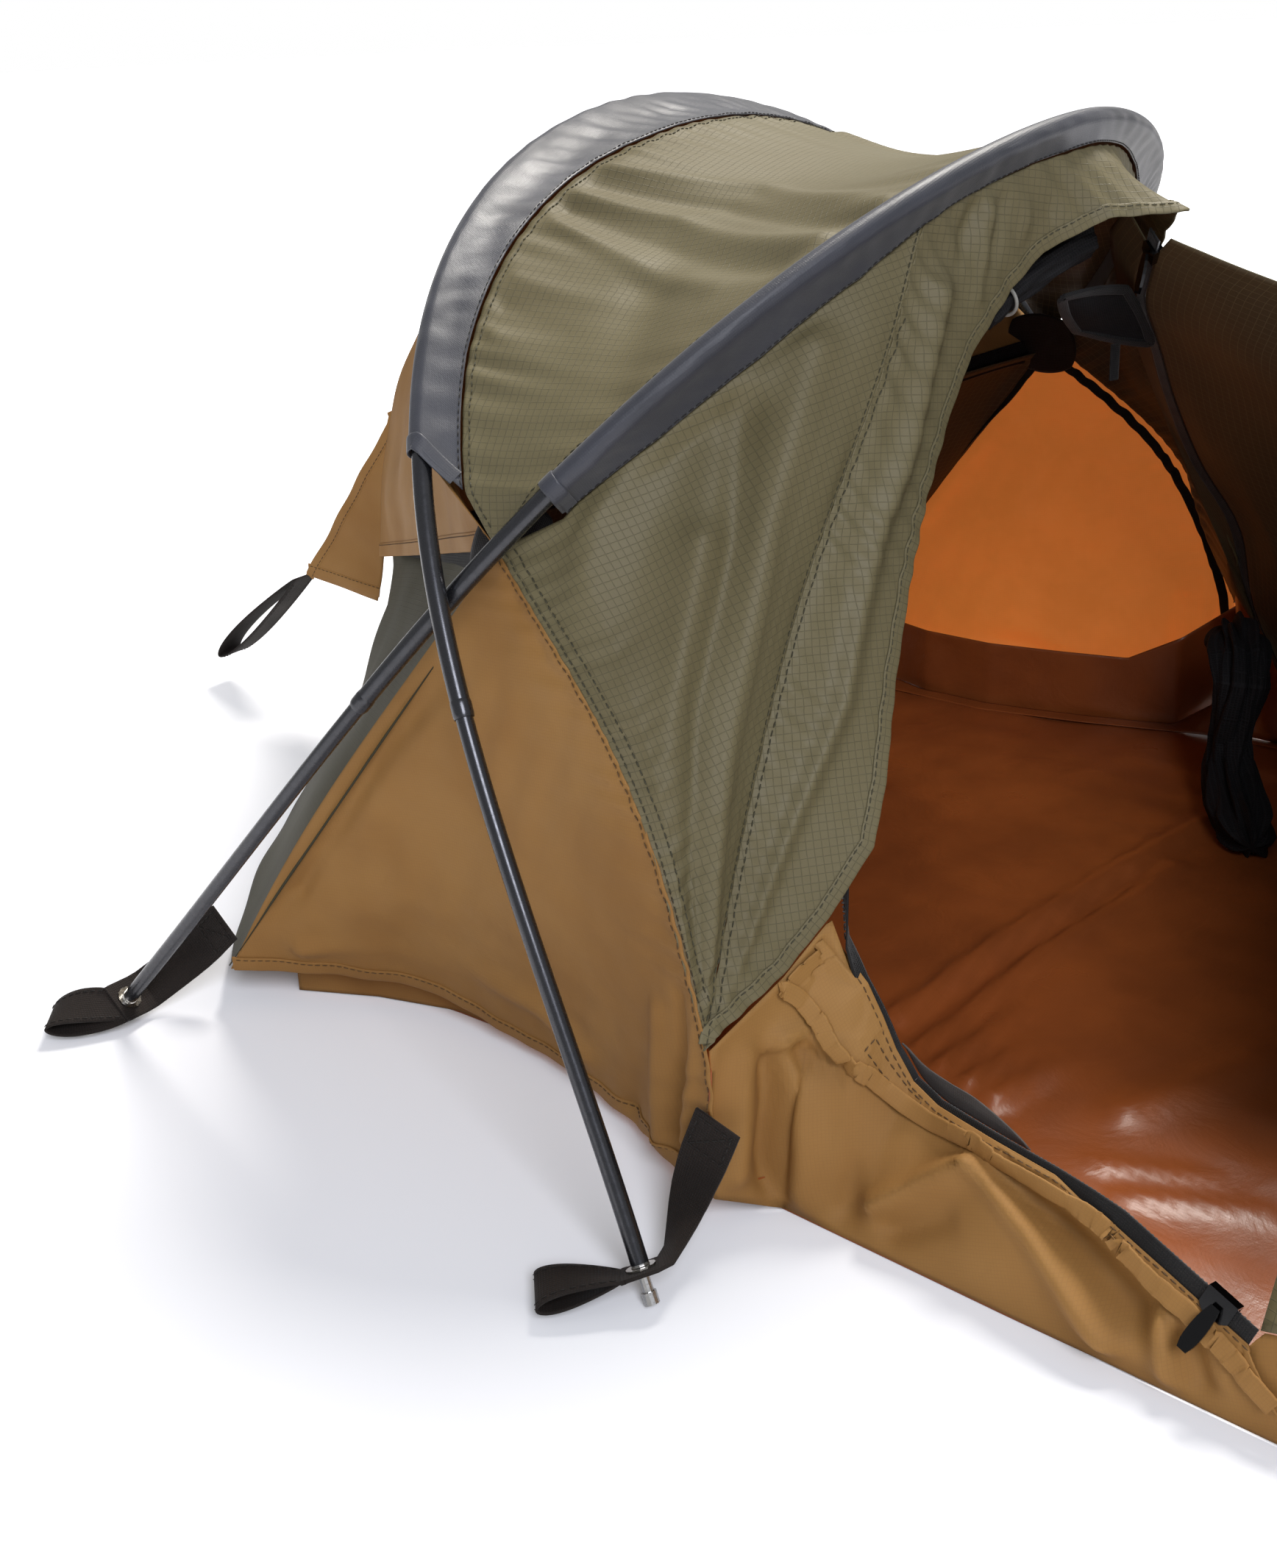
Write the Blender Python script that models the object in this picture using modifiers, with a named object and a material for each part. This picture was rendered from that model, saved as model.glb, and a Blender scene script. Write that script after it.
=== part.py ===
# Bivvy tent: a one-person hooped shelter with two crossed pole hoops at the head.
# Metres, +Z up. The head points to +Y, the foot to -Y, and the near side is -X.
# The origin is on the ground under the middle of the tent.
import math

import bpy
import bmesh
import numpy as np
from mathutils import Matrix, Vector

# Driving dimensions
half_length = 1.21
half_span = 0.421
front_half_span = 0.4075
rear_hoop_foot_y = 0.430
front_hoop_foot_y = 0.815
rear_hoop_height = 0.553
front_hoop_height = 0.614
rear_hoop_lean = math.radians(60.0)
front_hoop_lean = math.radians(130.4)
grommet_height = 0.018
foot_half_width = 0.20
foot_setback = 0.06

# Poles
arch_pole_radius = 0.0049
foot_pole_radius = 0.0043
pole_fit = 0.0003
insert_wall = 0.0006
shock_cord_radius = 0.0014
tip_neck_radius = 0.0026
tip_knob_radius = 0.0036
tip_plug_length = 0.015
tip_neck_length = 0.013
tip_knob_length = 0.0055

# Cloth
cloth = 0.0008
seam_gap = 0.0005
sleeve_slack = 0.0009
rear_band_width = 0.040
front_band_width = 0.022
floor_cloth = 0.001

# Webbing, grommets and peg loops
webbing_width = 0.025
webbing_thickness = 0.0016
grommet_bore = 0.0046
grommet_barrel = 0.0054
grommet_flange = 0.0072
grommet_flange_thickness = 0.0008
fitting_gap = 0.0003
peg_loop_length = 0.040
loop_opening = 0.0135
loop_wall = 0.0012

# Zips
zip_width = 0.009
zip_thickness = 0.0012
slider_width = 0.011
slider_length = 0.014
slider_height = 0.006
slider_wall = 0.0014
pull_length = 0.022
pull_width = 0.007
pull_thickness = 0.0018
storm_flap_width = 0.024
inner_wall_height = 0.055

# Netting and small trims
net_roll_radius = 0.009
pocket_cloth = 0.001
tape_width = 0.010
tape_thickness = 0.001
elastic_radius = 0.001

# Counts
stations = 54
foot_section_stations = 9
arch_section_stations = 12
joint_overlap_stations = 1
pole_sides_setting = 2
grommet_steps = 12
rear_sleeve_start = 14
front_sleeve_start = 14
slider_run_points = 5

# Shapes of the hoops: powers of a rounded arch, and how far its sides draw in
rear_arch_shares = (1.06, 0.655, -0.066)
front_arch_shares = (1.10, 0.605, -0.070)

rise = grommet_height + front_hoop_height * math.sin(front_hoop_lean)
hoop_spacing = front_hoop_foot_y - rear_hoop_foot_y
section_joins = (
    foot_section_stations,
    foot_section_stations + arch_section_stations,
    foot_section_stations + 2 * arch_section_stations,
    foot_section_stations + 3 * arch_section_stations,
)

# Places at the head end: shares of the half span there, of the hoop spacing counted from the rear
# hoop's feet, and of the front hoop's rise. The near side is given, and the far side mirrors it.
corner_share = (-0.7714, 0.382, 0.628)
fly_seam_shares = (corner_share, (-0.8355, 0.130, 0.443), (-0.867, 0.0, 0.206))
panel_front_foot_share = (-0.874, -0.005, 0.040)
panel_rear_foot_share = (-0.8857, 0.904, 0.052)
hem_shares = (panel_front_foot_share, (-0.7778, 0.234, 0.020), (-0.7425, 0.442, 0.022),
              (-0.7567, 0.649, 0.045), panel_rear_foot_share)
dart_shares = ((-0.3402, 0.020, 0.922), (-0.4503, 0.022, 0.785), (-0.6009, 0.045, 0.575),
               (-0.7408, 0.035, 0.370), (-0.867, 0.0, 0.206))
opening_edge_shares = (
    (-0.867, 0.0, 0.206), (-0.758, -0.036, 0.247), (-0.691, -0.060, 0.290), (-0.625, -0.078, 0.342),
    (-0.582, -0.068, 0.393), (-0.518, -0.042, 0.480), (-0.449, -0.021, 0.568), (-0.390, -0.008, 0.638),
    (-0.318, 0.0, 0.717), (-0.261, 0.0, 0.774), (-0.185, -0.016, 0.834), (-0.133, -0.034, 0.869),
    (-0.059, -0.090, 0.902), (0.0, -0.155, 0.905),
)
# The zip's run over the arch and down the side, and beside each place the way its sewn edge faces
zip_arch_shares = (
    (-0.010, -0.140, 0.870), (-0.070, -0.100, 0.835), (-0.150, -0.070, 0.775), (-0.237, -0.060, 0.715),
    (-0.356, -0.045, 0.625), (-0.475, -0.055, 0.515), (-0.560, -0.100, 0.410), (-0.672, -0.095, 0.275),
)
zip_arch_side_shares = (
    (-0.10, 0.60, 0.80), (-0.20, 0.60, 0.75), (-0.30, 0.75, 0.60), (-0.30, 0.85, 0.40),
    (-0.30, 0.90, 0.30), (-0.30, 0.95, 0.10), (-0.40, 0.90, 0.00), (-0.80, 0.50, -0.30),
)
zip_side_shares = (
    (-0.684, -0.130, 0.205), (-0.692, -0.190, 0.138), (-0.727, -0.294, 0.138),
    (-0.748, -0.420, 0.132), (-0.770, -0.535, 0.118), (-0.788, -0.610, 0.098), (-0.795, -0.640, 0.086),
)
zip_side_side_shares = (
    (-0.70, 0.10, -0.70), (-0.50, 0.00, -0.86), (-0.35, 0.00, -0.93),
    (-0.35, 0.00, -0.93), (-0.35, 0.00, -0.93), (-0.35, 0.00, -0.93), (-0.35, 0.00, -0.93),
)
rear_tab_shares = ((-0.8745, -0.021, 0.132), (-0.8931, 0.005, 0.062))
front_tab_shares = ((-0.8837, 0.9065, 0.115), (-0.9077, 0.953, 0.074))
rear_tab_turn = math.radians(46)
front_tab_turn = 0.0
loop_turn = math.radians(48)
hood_hem_back_share = (0.0, 1.475, 0.309)
hood_bulge_share = 0.17
roof_sag_share = 0.06
ground_back_share = (0.0, 1.545, 0.0)
ground_waist_shares = ((-0.795, 0.0), (-0.7406, 0.234), (-0.705, 0.442), (-0.7149, 0.649), (-0.8289, 0.900))
fin_top_share = (0.0, 1.348, 0.544)
fin_corner_share = (0.0, 1.719, 0.247)
fin_hem_share = (0.0, 1.500, 0.228)
head_loop_end_share = 0.055
ridge_start_share = (0.0, -0.160, 0.874)
ridge_foot_share = 0.34
ridge_sag_share = 0.62
side_foot_share = 0.17
door_end_share = -0.64
door_lift = math.radians(6)
net_roll_shares = ((-0.1902, 0.027, 0.803), (-0.107, 0.009, 0.832), (-0.012, -0.030, 0.864), (0.020, -0.055, 0.869))
net_bundle_shares = ((0.600, -0.085, 0.250), (0.490, -0.150, 0.205), (0.465, -0.142, 0.085),
                     (0.300, -0.250, 0.030))
net_bundle_share = 0.031
net_panel_shares = ((-0.014, -0.001, 0.8055), (0.124, -0.053, 0.8055), (0.239, -0.055, 0.7115), (0.1242, 0.038, 0.7405))
net_pull_share = (0.181, -0.011, 0.7225)

collection = bpy.data.collections.new("bivvy_tent")
cutters = bpy.data.collections.new("cutters")


def remove_old_objects():
    for old in list(bpy.data.objects):
        bpy.data.objects.remove(old, do_unlink=True)
    bpy.context.scene.collection.children.link(collection)
    bpy.context.scene.collection.children.link(cutters)


def material(name, colour, roughness, metallic=0.0):
    made = bpy.data.materials.new(name)
    made.use_nodes = True
    shader = made.node_tree.nodes["Principled BSDF"]
    shader.inputs["Base Color"].default_value = (*colour, 1.0)
    shader.inputs["Roughness"].default_value = roughness
    shader.inputs["Metallic"].default_value = metallic
    return made


olive_ripstop = material("olive_ripstop", (0.16, 0.145, 0.085), 0.55)
tan_cloth = material("tan_cloth", (0.26, 0.14, 0.055), 0.6)
sleeve_cloth = material("sleeve_cloth", (0.07, 0.075, 0.09), 0.6)
black_webbing = material("black_webbing", (0.022, 0.015, 0.012), 0.8)
black_net = material("black_net", (0.012, 0.011, 0.012), 0.85)
black_tape = material("black_tape", (0.014, 0.013, 0.014), 0.7)
pole_aluminium = material("pole_aluminium", (0.09, 0.09, 0.095), 0.3, 1.0)
bright_metal = material("bright_metal", (0.75, 0.72, 0.68), 0.25, 1.0)
elastic_cord = material("elastic_cord", (0.75, 0.75, 0.72), 0.7)


def span_at(share):
    """The half span between the two hoops: the rear hoop's, running into the front hoop's."""
    return half_span + (front_half_span - half_span) * np.clip(share, 0.0, 1.0)


def place(share):
    """A place at the head end from its three shares."""
    return np.array([
        share[0] * span_at(share[1]),
        rear_hoop_foot_y + share[1] * hoop_spacing,
        share[2] * rise,
    ])


def places(shares):
    return np.array([place(share) for share in shares])


def mirrored(points):
    return np.asarray(points) * np.array([-1.0, 1.0, 1.0])


def resample(points, count, start_gap=0.0, end_gap=0.0):
    """Even steps along a polyline, less a gap at each end."""
    points = np.asarray(points, float)
    steps = np.linalg.norm(np.diff(points, axis=0), axis=1)
    along = np.concatenate([[0.0], np.cumsum(steps)])
    wanted = np.linspace(start_gap, along[-1] - end_gap, count)
    return np.stack([np.interp(wanted, along, points[:, k]) for k in range(3)], axis=1)


def rounded(points, count):
    """A smooth curve through a few places (Catmull-Rom), as an even polyline."""
    points = np.asarray(points, float)
    padded = np.vstack([2 * points[0] - points[1], points, 2 * points[-1] - points[-2]])
    t = np.linspace(0.0, 1.0, 9)[:-1, None]
    runs = []
    for a, b, c, d in zip(padded[:-3], padded[1:-2], padded[2:-1], padded[3:]):
        runs.append(0.5 * (2 * b + (c - a) * t + (2 * a - 5 * b + 4 * c - d) * t ** 2
                           + (3 * b - a - 3 * c + d) * t ** 3))
    runs.append(points[-1:])
    return resample(np.vstack(runs), count)


def unit(vectors):
    vectors = np.asarray(vectors, float)
    return vectors / np.linalg.norm(vectors, axis=-1, keepdims=True)


def mesh_object(name, points, faces, finish, home=None):
    mesh = bpy.data.meshes.new(name)
    mesh.from_pydata([tuple(p) for p in np.asarray(points, float)], [], faces)
    mesh.update()
    made = bpy.data.objects.new(name, mesh)
    (home or collection).objects.link(made)
    if finish:
        mesh.materials.append(finish)
        mesh.shade_smooth()
    return made


def sheet(name, grid, finish, thickness=cloth, closed=False):
    """A cloth piece: a grid of points given a wall. A closed one joins its last row to its first."""
    rows, columns = grid.shape[:2]
    points = grid.reshape(-1, 3)
    faces = []
    for i in range(rows if closed else rows - 1):
        j = (i + 1) % rows
        for k in range(columns - 1):
            faces.append((i * columns + k, i * columns + k + 1, j * columns + k + 1, j * columns + k))
    made = mesh_object(name, points, faces, finish)
    wall = made.modifiers.new("wall", "SOLIDIFY")
    wall.thickness = thickness
    wall.offset = 0.0
    return made


def turn_about(made, spot):
    """Moves a piece's origin to its joint without moving the piece."""
    made.data.transform(Matrix.Translation(-Vector(spot)))
    made.location = Vector(spot)


def ruled(first, second, count, first_gap=0.0, second_gap=0.0):
    """Rows of points from each point of one edge straight to its partner on the other."""
    first, second = np.asarray(first, float), np.asarray(second, float)
    reach = np.linalg.norm(second - first, axis=1)[:, None]
    v = np.linspace(0.0, 1.0, count)[None, :]
    v = first_gap / reach + v * (1.0 - (first_gap + second_gap) / reach)
    return first[:, None] + (second - first)[:, None] * v[..., None]


def grid_normals(grid):
    along = np.gradient(grid, axis=0)
    across = np.gradient(grid, axis=1)
    return unit(np.cross(along, across) + 1e-12)


def hoop_stations(half, foot_y, lean, height, arch_shares):
    """Even stations along a pole hoop: a rounded arch in its own leaning plane."""
    x_power, height_power, draw_in = arch_shares
    t = np.linspace(0.0, math.pi, 4001)
    k = np.abs(np.sin(t)) ** height_power
    x = -half * np.sign(np.cos(t)) * np.abs(np.cos(t)) ** x_power * (1 + 4 * draw_in * k * (1 - k))
    arch = np.stack([
        x,
        foot_y + height * k * math.cos(lean),
        grommet_height + height * k * math.sin(lean),
    ], axis=1)
    return resample(arch, stations + 1)


rear_hoop = hoop_stations(half_span, rear_hoop_foot_y, rear_hoop_lean, rear_hoop_height, rear_arch_shares)
front_hoop = hoop_stations(front_half_span, front_hoop_foot_y, front_hoop_lean, front_hoop_height,
                           front_arch_shares)


def rod_curve(name, points, radius, sides_setting, filled, shares=None):
    curve = bpy.data.curves.new(name, "CURVE")
    curve.dimensions = "3D"
    curve.twist_mode = "Z_UP"
    curve.bevel_depth = radius
    curve.bevel_resolution = int(sides_setting)
    curve.use_fill_caps = filled
    spline = curve.splines.new("POLY")
    spline.points.add(len(points) - 1)
    for k, (point, spot) in enumerate(zip(spline.points, points)):
        point.co = (*spot, 1.0)
        point.radius = shares[k] if shares else 1.0
    made = bpy.data.objects.new(name, curve)
    collection.objects.link(made)
    return made


def as_mesh(source, finish, weld):
    """The curve object made a mesh object under the same name."""
    bpy.context.view_layer.update()
    evaluated = source.evaluated_get(bpy.context.evaluated_depsgraph_get())
    mesh = bpy.data.meshes.new_from_object(evaluated)
    name = source.name
    if weld:
        work = bmesh.new()
        work.from_mesh(mesh)
        bmesh.ops.remove_doubles(work, verts=work.verts, dist=1e-6)
        work.to_mesh(mesh)
        work.free()
    bpy.data.objects.remove(source, do_unlink=True)
    made = bpy.data.objects.new(name, mesh)
    collection.objects.link(made)
    mesh.materials.clear()
    mesh.materials.append(finish)
    mesh.shade_smooth()
    return made


def rod(name, points, radius, finish, sides_setting=2):
    return as_mesh(rod_curve(name, points, radius, sides_setting, True), finish, True)


def pipe(name, points, outer, inner, finish, shares=None):
    """A hollow pole section along the hoop."""
    made = as_mesh(rod_curve(name, points, outer, pole_sides_setting, False, shares), finish, True)
    wall = made.modifiers.new("wall", "SOLIDIFY")
    wall.thickness = outer - inner
    wall.offset = -1.0
    return made


def shortened(points, start, end):
    """The same polyline with its first and last points moved in by a small clearance."""
    points = np.array(points, float)
    points[0] += start * unit(points[1] - points[0])
    points[-1] -= end * unit(points[-1] - points[-2])
    return points


def make_hoop(word, hoop):
    """One pole: foot sections pushed into the arch sections, whose top one has spigots, and the elastic."""
    arch_bore = foot_pole_radius + pole_fit
    foot_bore = foot_pole_radius - insert_wall
    a, b, c, d = section_joins
    over = joint_overlap_stations
    near_foot = shortened(hoop[:a + over + 1], fitting_gap, 0.0)
    far_foot = shortened(hoop[d - over:], 0.0, fitting_gap)
    pipe(f"{word}_pole_near_foot_section", near_foot, foot_pole_radius, foot_bore, pole_aluminium)
    pipe(f"{word}_pole_far_foot_section", far_foot, foot_pole_radius, foot_bore, pole_aluminium)
    for name, start, end in (("near", a, b), ("far", c, d)):
        run = shortened(hoop[start:end + 1], fitting_gap, fitting_gap)
        pipe(f"{word}_pole_{name}_arch_section", run, arch_pole_radius, arch_bore, pole_aluminium)
    step = arch_pole_radius - foot_pole_radius
    toward_near = hoop[b] + unit(hoop[b + 1] - hoop[b]) * fitting_gap
    toward_far = hoop[c] - unit(hoop[c] - hoop[c - 1]) * fitting_gap
    run = np.vstack([hoop[b - over:b + 1], [toward_near + unit(hoop[b + 1] - hoop[b]) * step],
                     hoop[b + 1:c], [toward_far - unit(hoop[c] - hoop[c - 1]) * step], hoop[c:c + over + 1]])
    spigot = foot_pole_radius / arch_pole_radius
    shares = [spigot] * (over + 1) + [1.0] * (len(run) - 2 * over - 2) + [spigot] * (over + 1)
    pipe(f"{word}_pole_top_arch_section", run, arch_pole_radius, arch_bore, pole_aluminium, shares)
    reach = tip_plug_length + 3 * fitting_gap
    rod(f"{word}_pole_shock_cord", shortened(hoop[::2], reach, reach), shock_cord_radius, elastic_cord, 0)


def turned(name, profile, finish, steps):
    """A profile of (radius, height) points turned about its own Z axis."""
    ring = profile[0][0] > 0.0
    points = [(r, 0.0, z) for r, z in (reversed(profile) if ring else profile)]
    mesh = bpy.data.meshes.new(name)
    edges = [(k, k + 1) for k in range(len(points) - 1)]
    if ring:
        edges.append((len(points) - 1, 0))
    mesh.from_pydata(points, edges, [])
    made = bpy.data.objects.new(name, mesh)
    collection.objects.link(made)
    mesh.materials.append(finish)
    screw = made.modifiers.new("turn", "SCREW")
    screw.steps = steps
    screw.render_steps = steps
    screw.use_merge_vertices = True
    screw.merge_threshold = 1e-5
    screw.use_normal_flip = ring
    return made


def stand(made, spot, direction):
    """Puts a turned piece at a spot with its own Z axis along a direction."""
    made.location = Vector(spot)
    made.rotation_mode = "QUATERNION"
    made.rotation_quaternion = Vector(direction).to_track_quat("Z", "Y")


def make_tip(name, foot, up):
    """A pole tip: a plug in the tube, a neck through the grommet and a knob under it."""
    plug = foot_pole_radius - insert_wall - pole_fit
    profile = [
        (0.0, tip_plug_length), (plug, tip_plug_length), (plug, 0.0), (foot_pole_radius, 0.0),
        (foot_pole_radius, -fitting_gap - cloth), (tip_neck_radius, -fitting_gap - cloth),
        (tip_neck_radius, -tip_neck_length), (tip_knob_radius, -tip_neck_length),
        (tip_knob_radius, -tip_neck_length - tip_knob_length), (0.0, -tip_neck_length - tip_knob_length),
    ]
    made = turned(name, profile, bright_metal, 12)
    stand(made, foot, up)


def grommet_seat_drop():
    """How far under the pole's foot the middle of the webbing lies."""
    flange = webbing_thickness / 2 + fitting_gap + grommet_flange_thickness
    return flange + fitting_gap + fitting_gap + cloth


def make_grommet(name, spot, up):
    half = webbing_thickness / 2 + fitting_gap
    flange = half + grommet_flange_thickness
    profile = [
        (grommet_bore, flange), (grommet_flange, flange), (grommet_flange, half), (grommet_barrel, half),
        (grommet_barrel, -half), (grommet_flange, -half), (grommet_flange, -flange), (grommet_bore, -flange),
    ]
    made = turned(name, profile, bright_metal, grommet_steps)
    stand(made, spot, up)


def cut(made, cutter):
    boolean = made.modifiers.new("cut", "BOOLEAN")
    boolean.operation = "DIFFERENCE"
    boolean.object = cutter
    cutter.hide_render = True
    cutter.display_type = "WIRE"


def cylinder_cutter(name, spot, direction, radius, depth):
    bpy.ops.mesh.primitive_cylinder_add(vertices=grommet_steps, radius=radius, depth=depth)
    made = bpy.context.object
    made.name = name
    for home in list(made.users_collection):
        home.objects.unlink(made)
    cutters.objects.link(made)
    stand(made, spot, direction)
    return made


def strip(name, middle, widths, width, finish, thickness, columns=3):
    """A strap: a middle line and, at each of its points, the direction of its width."""
    middle, widths = np.asarray(middle, float), unit(widths)
    v = np.linspace(-0.5, 0.5, columns)[None, :, None] * width
    return sheet(name, middle[:, None] + widths[:, None] * v, finish, thickness)


def loop_band(name, root, outward, lift, width_start, width_end, length, width, opening, finish, rows=18):
    """A closed loop of webbing: out along one side and back along the other, round at its far end."""
    t = np.linspace(0.0, 2 * math.pi, rows, endpoint=False)
    reach = length * 0.5 * (1.0 - np.cos(t))
    spread = opening * 0.5 * np.sin(t) * (0.35 + 0.65 * reach / length)
    outward, lift = unit(outward), unit(lift)
    middle = root + reach[:, None] * outward + spread[:, None] * lift
    mix = (reach / length)[:, None]
    widths = unit(unit(width_start) * (1 - mix) + unit(width_end) * mix)
    v = np.linspace(-0.5, 0.5, 3)[None, :, None] * width
    made = sheet(name, middle[:, None] + widths[:, None] * v, finish, loop_wall, closed=True)
    turn_about(made, root)
    return made


def make_foot(word, hoop, tab_shares, tab_turn, side):
    """A pole foot: tip, grommet, the webbing tab sewn to the cloth and the free peg loop."""
    side_word = "near" if side < 0 else "far"
    name = f"{word}_{side_word}"
    flip = np.array([-side, 1.0, 1.0])
    up = unit(hoop[1] - hoop[0]) * flip
    foot = hoop[0] * flip
    make_tip(f"{name}_pole_tip", foot, up)
    seat = foot - up * grommet_seat_drop()
    make_grommet(f"{name}_grommet", seat, up)
    outward = np.array([side, 0.0, 0.0])
    level_out = unit(outward - np.dot(outward, up) * up)
    in_plane = np.cross(level_out, up)
    in_plane *= 1.0 if in_plane[1] > 0 else -1.0
    way = level_out * math.cos(tab_turn) + in_plane * math.sin(tab_turn)
    across = np.cross(up, way)
    across *= 1.0 if across[1] > 0 else -1.0
    reach = grommet_flange + 2 * fitting_gap
    tab_end = seat + way * reach
    flat_start = seat - way * reach
    sewn = places(tab_shares) * flip
    lead = unit(sewn[1] - sewn[0])
    sewn_width = np.cross(lead, outward)
    sewn_width *= 1.0 if sewn_width[1] > 0 else -1.0
    bend = rounded([sewn[0], sewn[1], flat_start - way * reach * 0.5, flat_start], 9)
    middle = np.vstack([bend, [seat, tab_end]])
    mix = np.clip(np.linspace(-0.3, 1.0, len(bend)), 0.0, 1.0)[:, None]
    widths = np.vstack([sewn_width * (1 - mix) + across * mix, [across, across]])
    tab = strip(f"{name}_webbing_tab", middle, widths, webbing_width, black_webbing, webbing_thickness)
    hole = cylinder_cutter(f"{name}_grommet_hole", seat, up, grommet_barrel + fitting_gap,
                           webbing_width)
    cut(tab, hole)
    level = np.array([side * math.cos(loop_turn), math.sin(loop_turn), 0.0])
    fall = (tab_end[2] - loop_opening / 2 - loop_wall) / peg_loop_length
    down = unit(level - np.array([0.0, 0.0, fall * 0.75]))
    root = tab_end + way * (fitting_gap + loop_wall)
    flat_width = np.cross([0.0, 0.0, 1.0], level)
    flat_width *= 1.0 if flat_width[1] > 0 else -1.0
    lift = np.cross(flat_width, down)
    lift *= 1.0 if lift[2] > 0 else -1.0
    loop_band(f"{name}_peg_loop", root, down, lift, across, flat_width, peg_loop_length,
              webbing_width * 0.96, loop_opening, black_webbing)


def make_end_loops(fin_corner):
    """The head loop on the guy fin and the loop at the foot."""
    end = np.array([0.0, half_length, head_loop_end_share * rise])
    way = end - fin_corner
    lift = np.cross(way, [-1.0, 0.0, 0.0])
    root = fin_corner + unit(way) * (fitting_gap + loop_wall)
    loop_band("head_peg_loop", root, way, lift, [1.0, 0.0, 0.0], [1.0, 0.0, 0.0],
              np.linalg.norm(end - root) - loop_wall, webbing_width, loop_opening * 1.6, black_webbing, 22)
    foot_y = -half_length + foot_setback
    root = np.array([0.0, foot_y - seam_gap - cloth - loop_wall, loop_opening])
    length = root[1] + half_length - loop_wall / 2
    down = np.array([0.0, -length, -loop_opening * 0.4])
    loop_band("foot_peg_loop", root, down, [0.0, 0.0, 1.0], [1.0, 0.0, 0.0], [1.0, 0.0, 0.0],
              length, webbing_width, loop_opening, black_webbing)


def sleeve(name, hoop, start, towards, band_width, inside):
    """A pole sleeve: a tube round the pole and a flat band along the cloth, wrapped from one strip."""
    run = slice(start, stations - start + 1)
    spots = hoop[run]
    tangents = unit(np.gradient(hoop, axis=0)[run])
    along = towards[run] - spots
    band = unit(along - np.sum(along * tangents, axis=1, keepdims=True) * tangents)
    out = np.cross(tangents, band)
    out *= np.sign(np.sum(out * (spots - inside), axis=1, keepdims=True))
    middle_radius = arch_pole_radius + sleeve_slack + cloth / 2
    angles = np.radians([-90, -142, -194, -246, -298, -350, -402])
    profile = [(band_width, -middle_radius), (middle_radius * 2, -middle_radius)]
    profile += [(middle_radius * math.cos(a), middle_radius * math.sin(a)) for a in angles]
    profile = np.array(profile)
    grid = (spots[:, None] + band[:, None] * profile[None, :, 0:1] + out[:, None] * profile[None, :, 1:2])
    sheet(name, grid, sleeve_cloth)
    band_edge = spots + band * (band_width + seam_gap * 2) - out * middle_radius
    back_edge = spots - (band + out) * math.sqrt(0.5) * (middle_radius + cloth + seam_gap)
    return band_edge, back_edge


def facing_edge(hoop, start, edge):
    """Where a panel from that edge meets a sleeve: on the side of the sleeve that faces the edge."""
    run = slice(start, stations - start + 1)
    spots = hoop[run]
    tangents = unit(np.gradient(hoop, axis=0)[run])
    way = resample(edge, len(spots)) - spots
    way = unit(way - np.sum(way * tangents, axis=1, keepdims=True) * tangents)
    return spots + way * (arch_pole_radius + sleeve_slack + cloth * 1.5)


def trimmed_rows(grid, start, end):
    """The grid with its first and last rows moved inward, to leave a seam gap."""
    grid = grid.copy()
    grid[0] += unit(grid[1] - grid[0]) * start
    grid[-1] -= unit(grid[-1] - grid[-2]) * end
    return grid


def fan_folds(grid, centre, axis, depth, folds, reach):
    """Folds that fan out from one corner: waves by angle about it, deepest part way out."""
    normals = grid_normals(grid)
    out = grid - centre
    distance = np.linalg.norm(out, axis=2)
    flat = unit(axis)
    side = unit(np.cross(normals.mean(axis=(0, 1)), flat))
    angle = np.arctan2(np.sum(out * side, axis=2), np.sum(out * flat, axis=2))
    swell = np.sin(np.clip(distance / reach, 0.0, 1.0) * math.pi)
    rows, columns = grid.shape[:2]
    edge = np.sin(np.linspace(0, math.pi, rows))[:, None] * np.sin(np.linspace(0, math.pi, columns))[None]
    wave = depth * swell * np.sqrt(np.clip(edge, 0.0, 1.0)) * np.sin(angle * folds)
    return grid + normals * wave[..., None]


def three_sided(edge, corner, first_side, last_side, columns, gap, corner_gap):
    """A panel from an edge to one corner, its two sides following their own seam curves."""
    rows = len(edge)
    v = np.linspace(0.0, 1.0, 41)
    straight = edge[:, None] * (1 - v)[None, :, None] + corner * v[None, :, None]
    first_bow = resample(first_side, 41) - straight[0]
    last_bow = resample(last_side, 41) - straight[-1]
    s = np.linspace(0.0, 1.0, rows)[:, None, None]
    full = straight + first_bow[None] * (1 - s) ** 2 + last_bow[None] * s ** 2
    return np.array([resample(row, columns, gap, corner_gap) for row in full])


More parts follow.
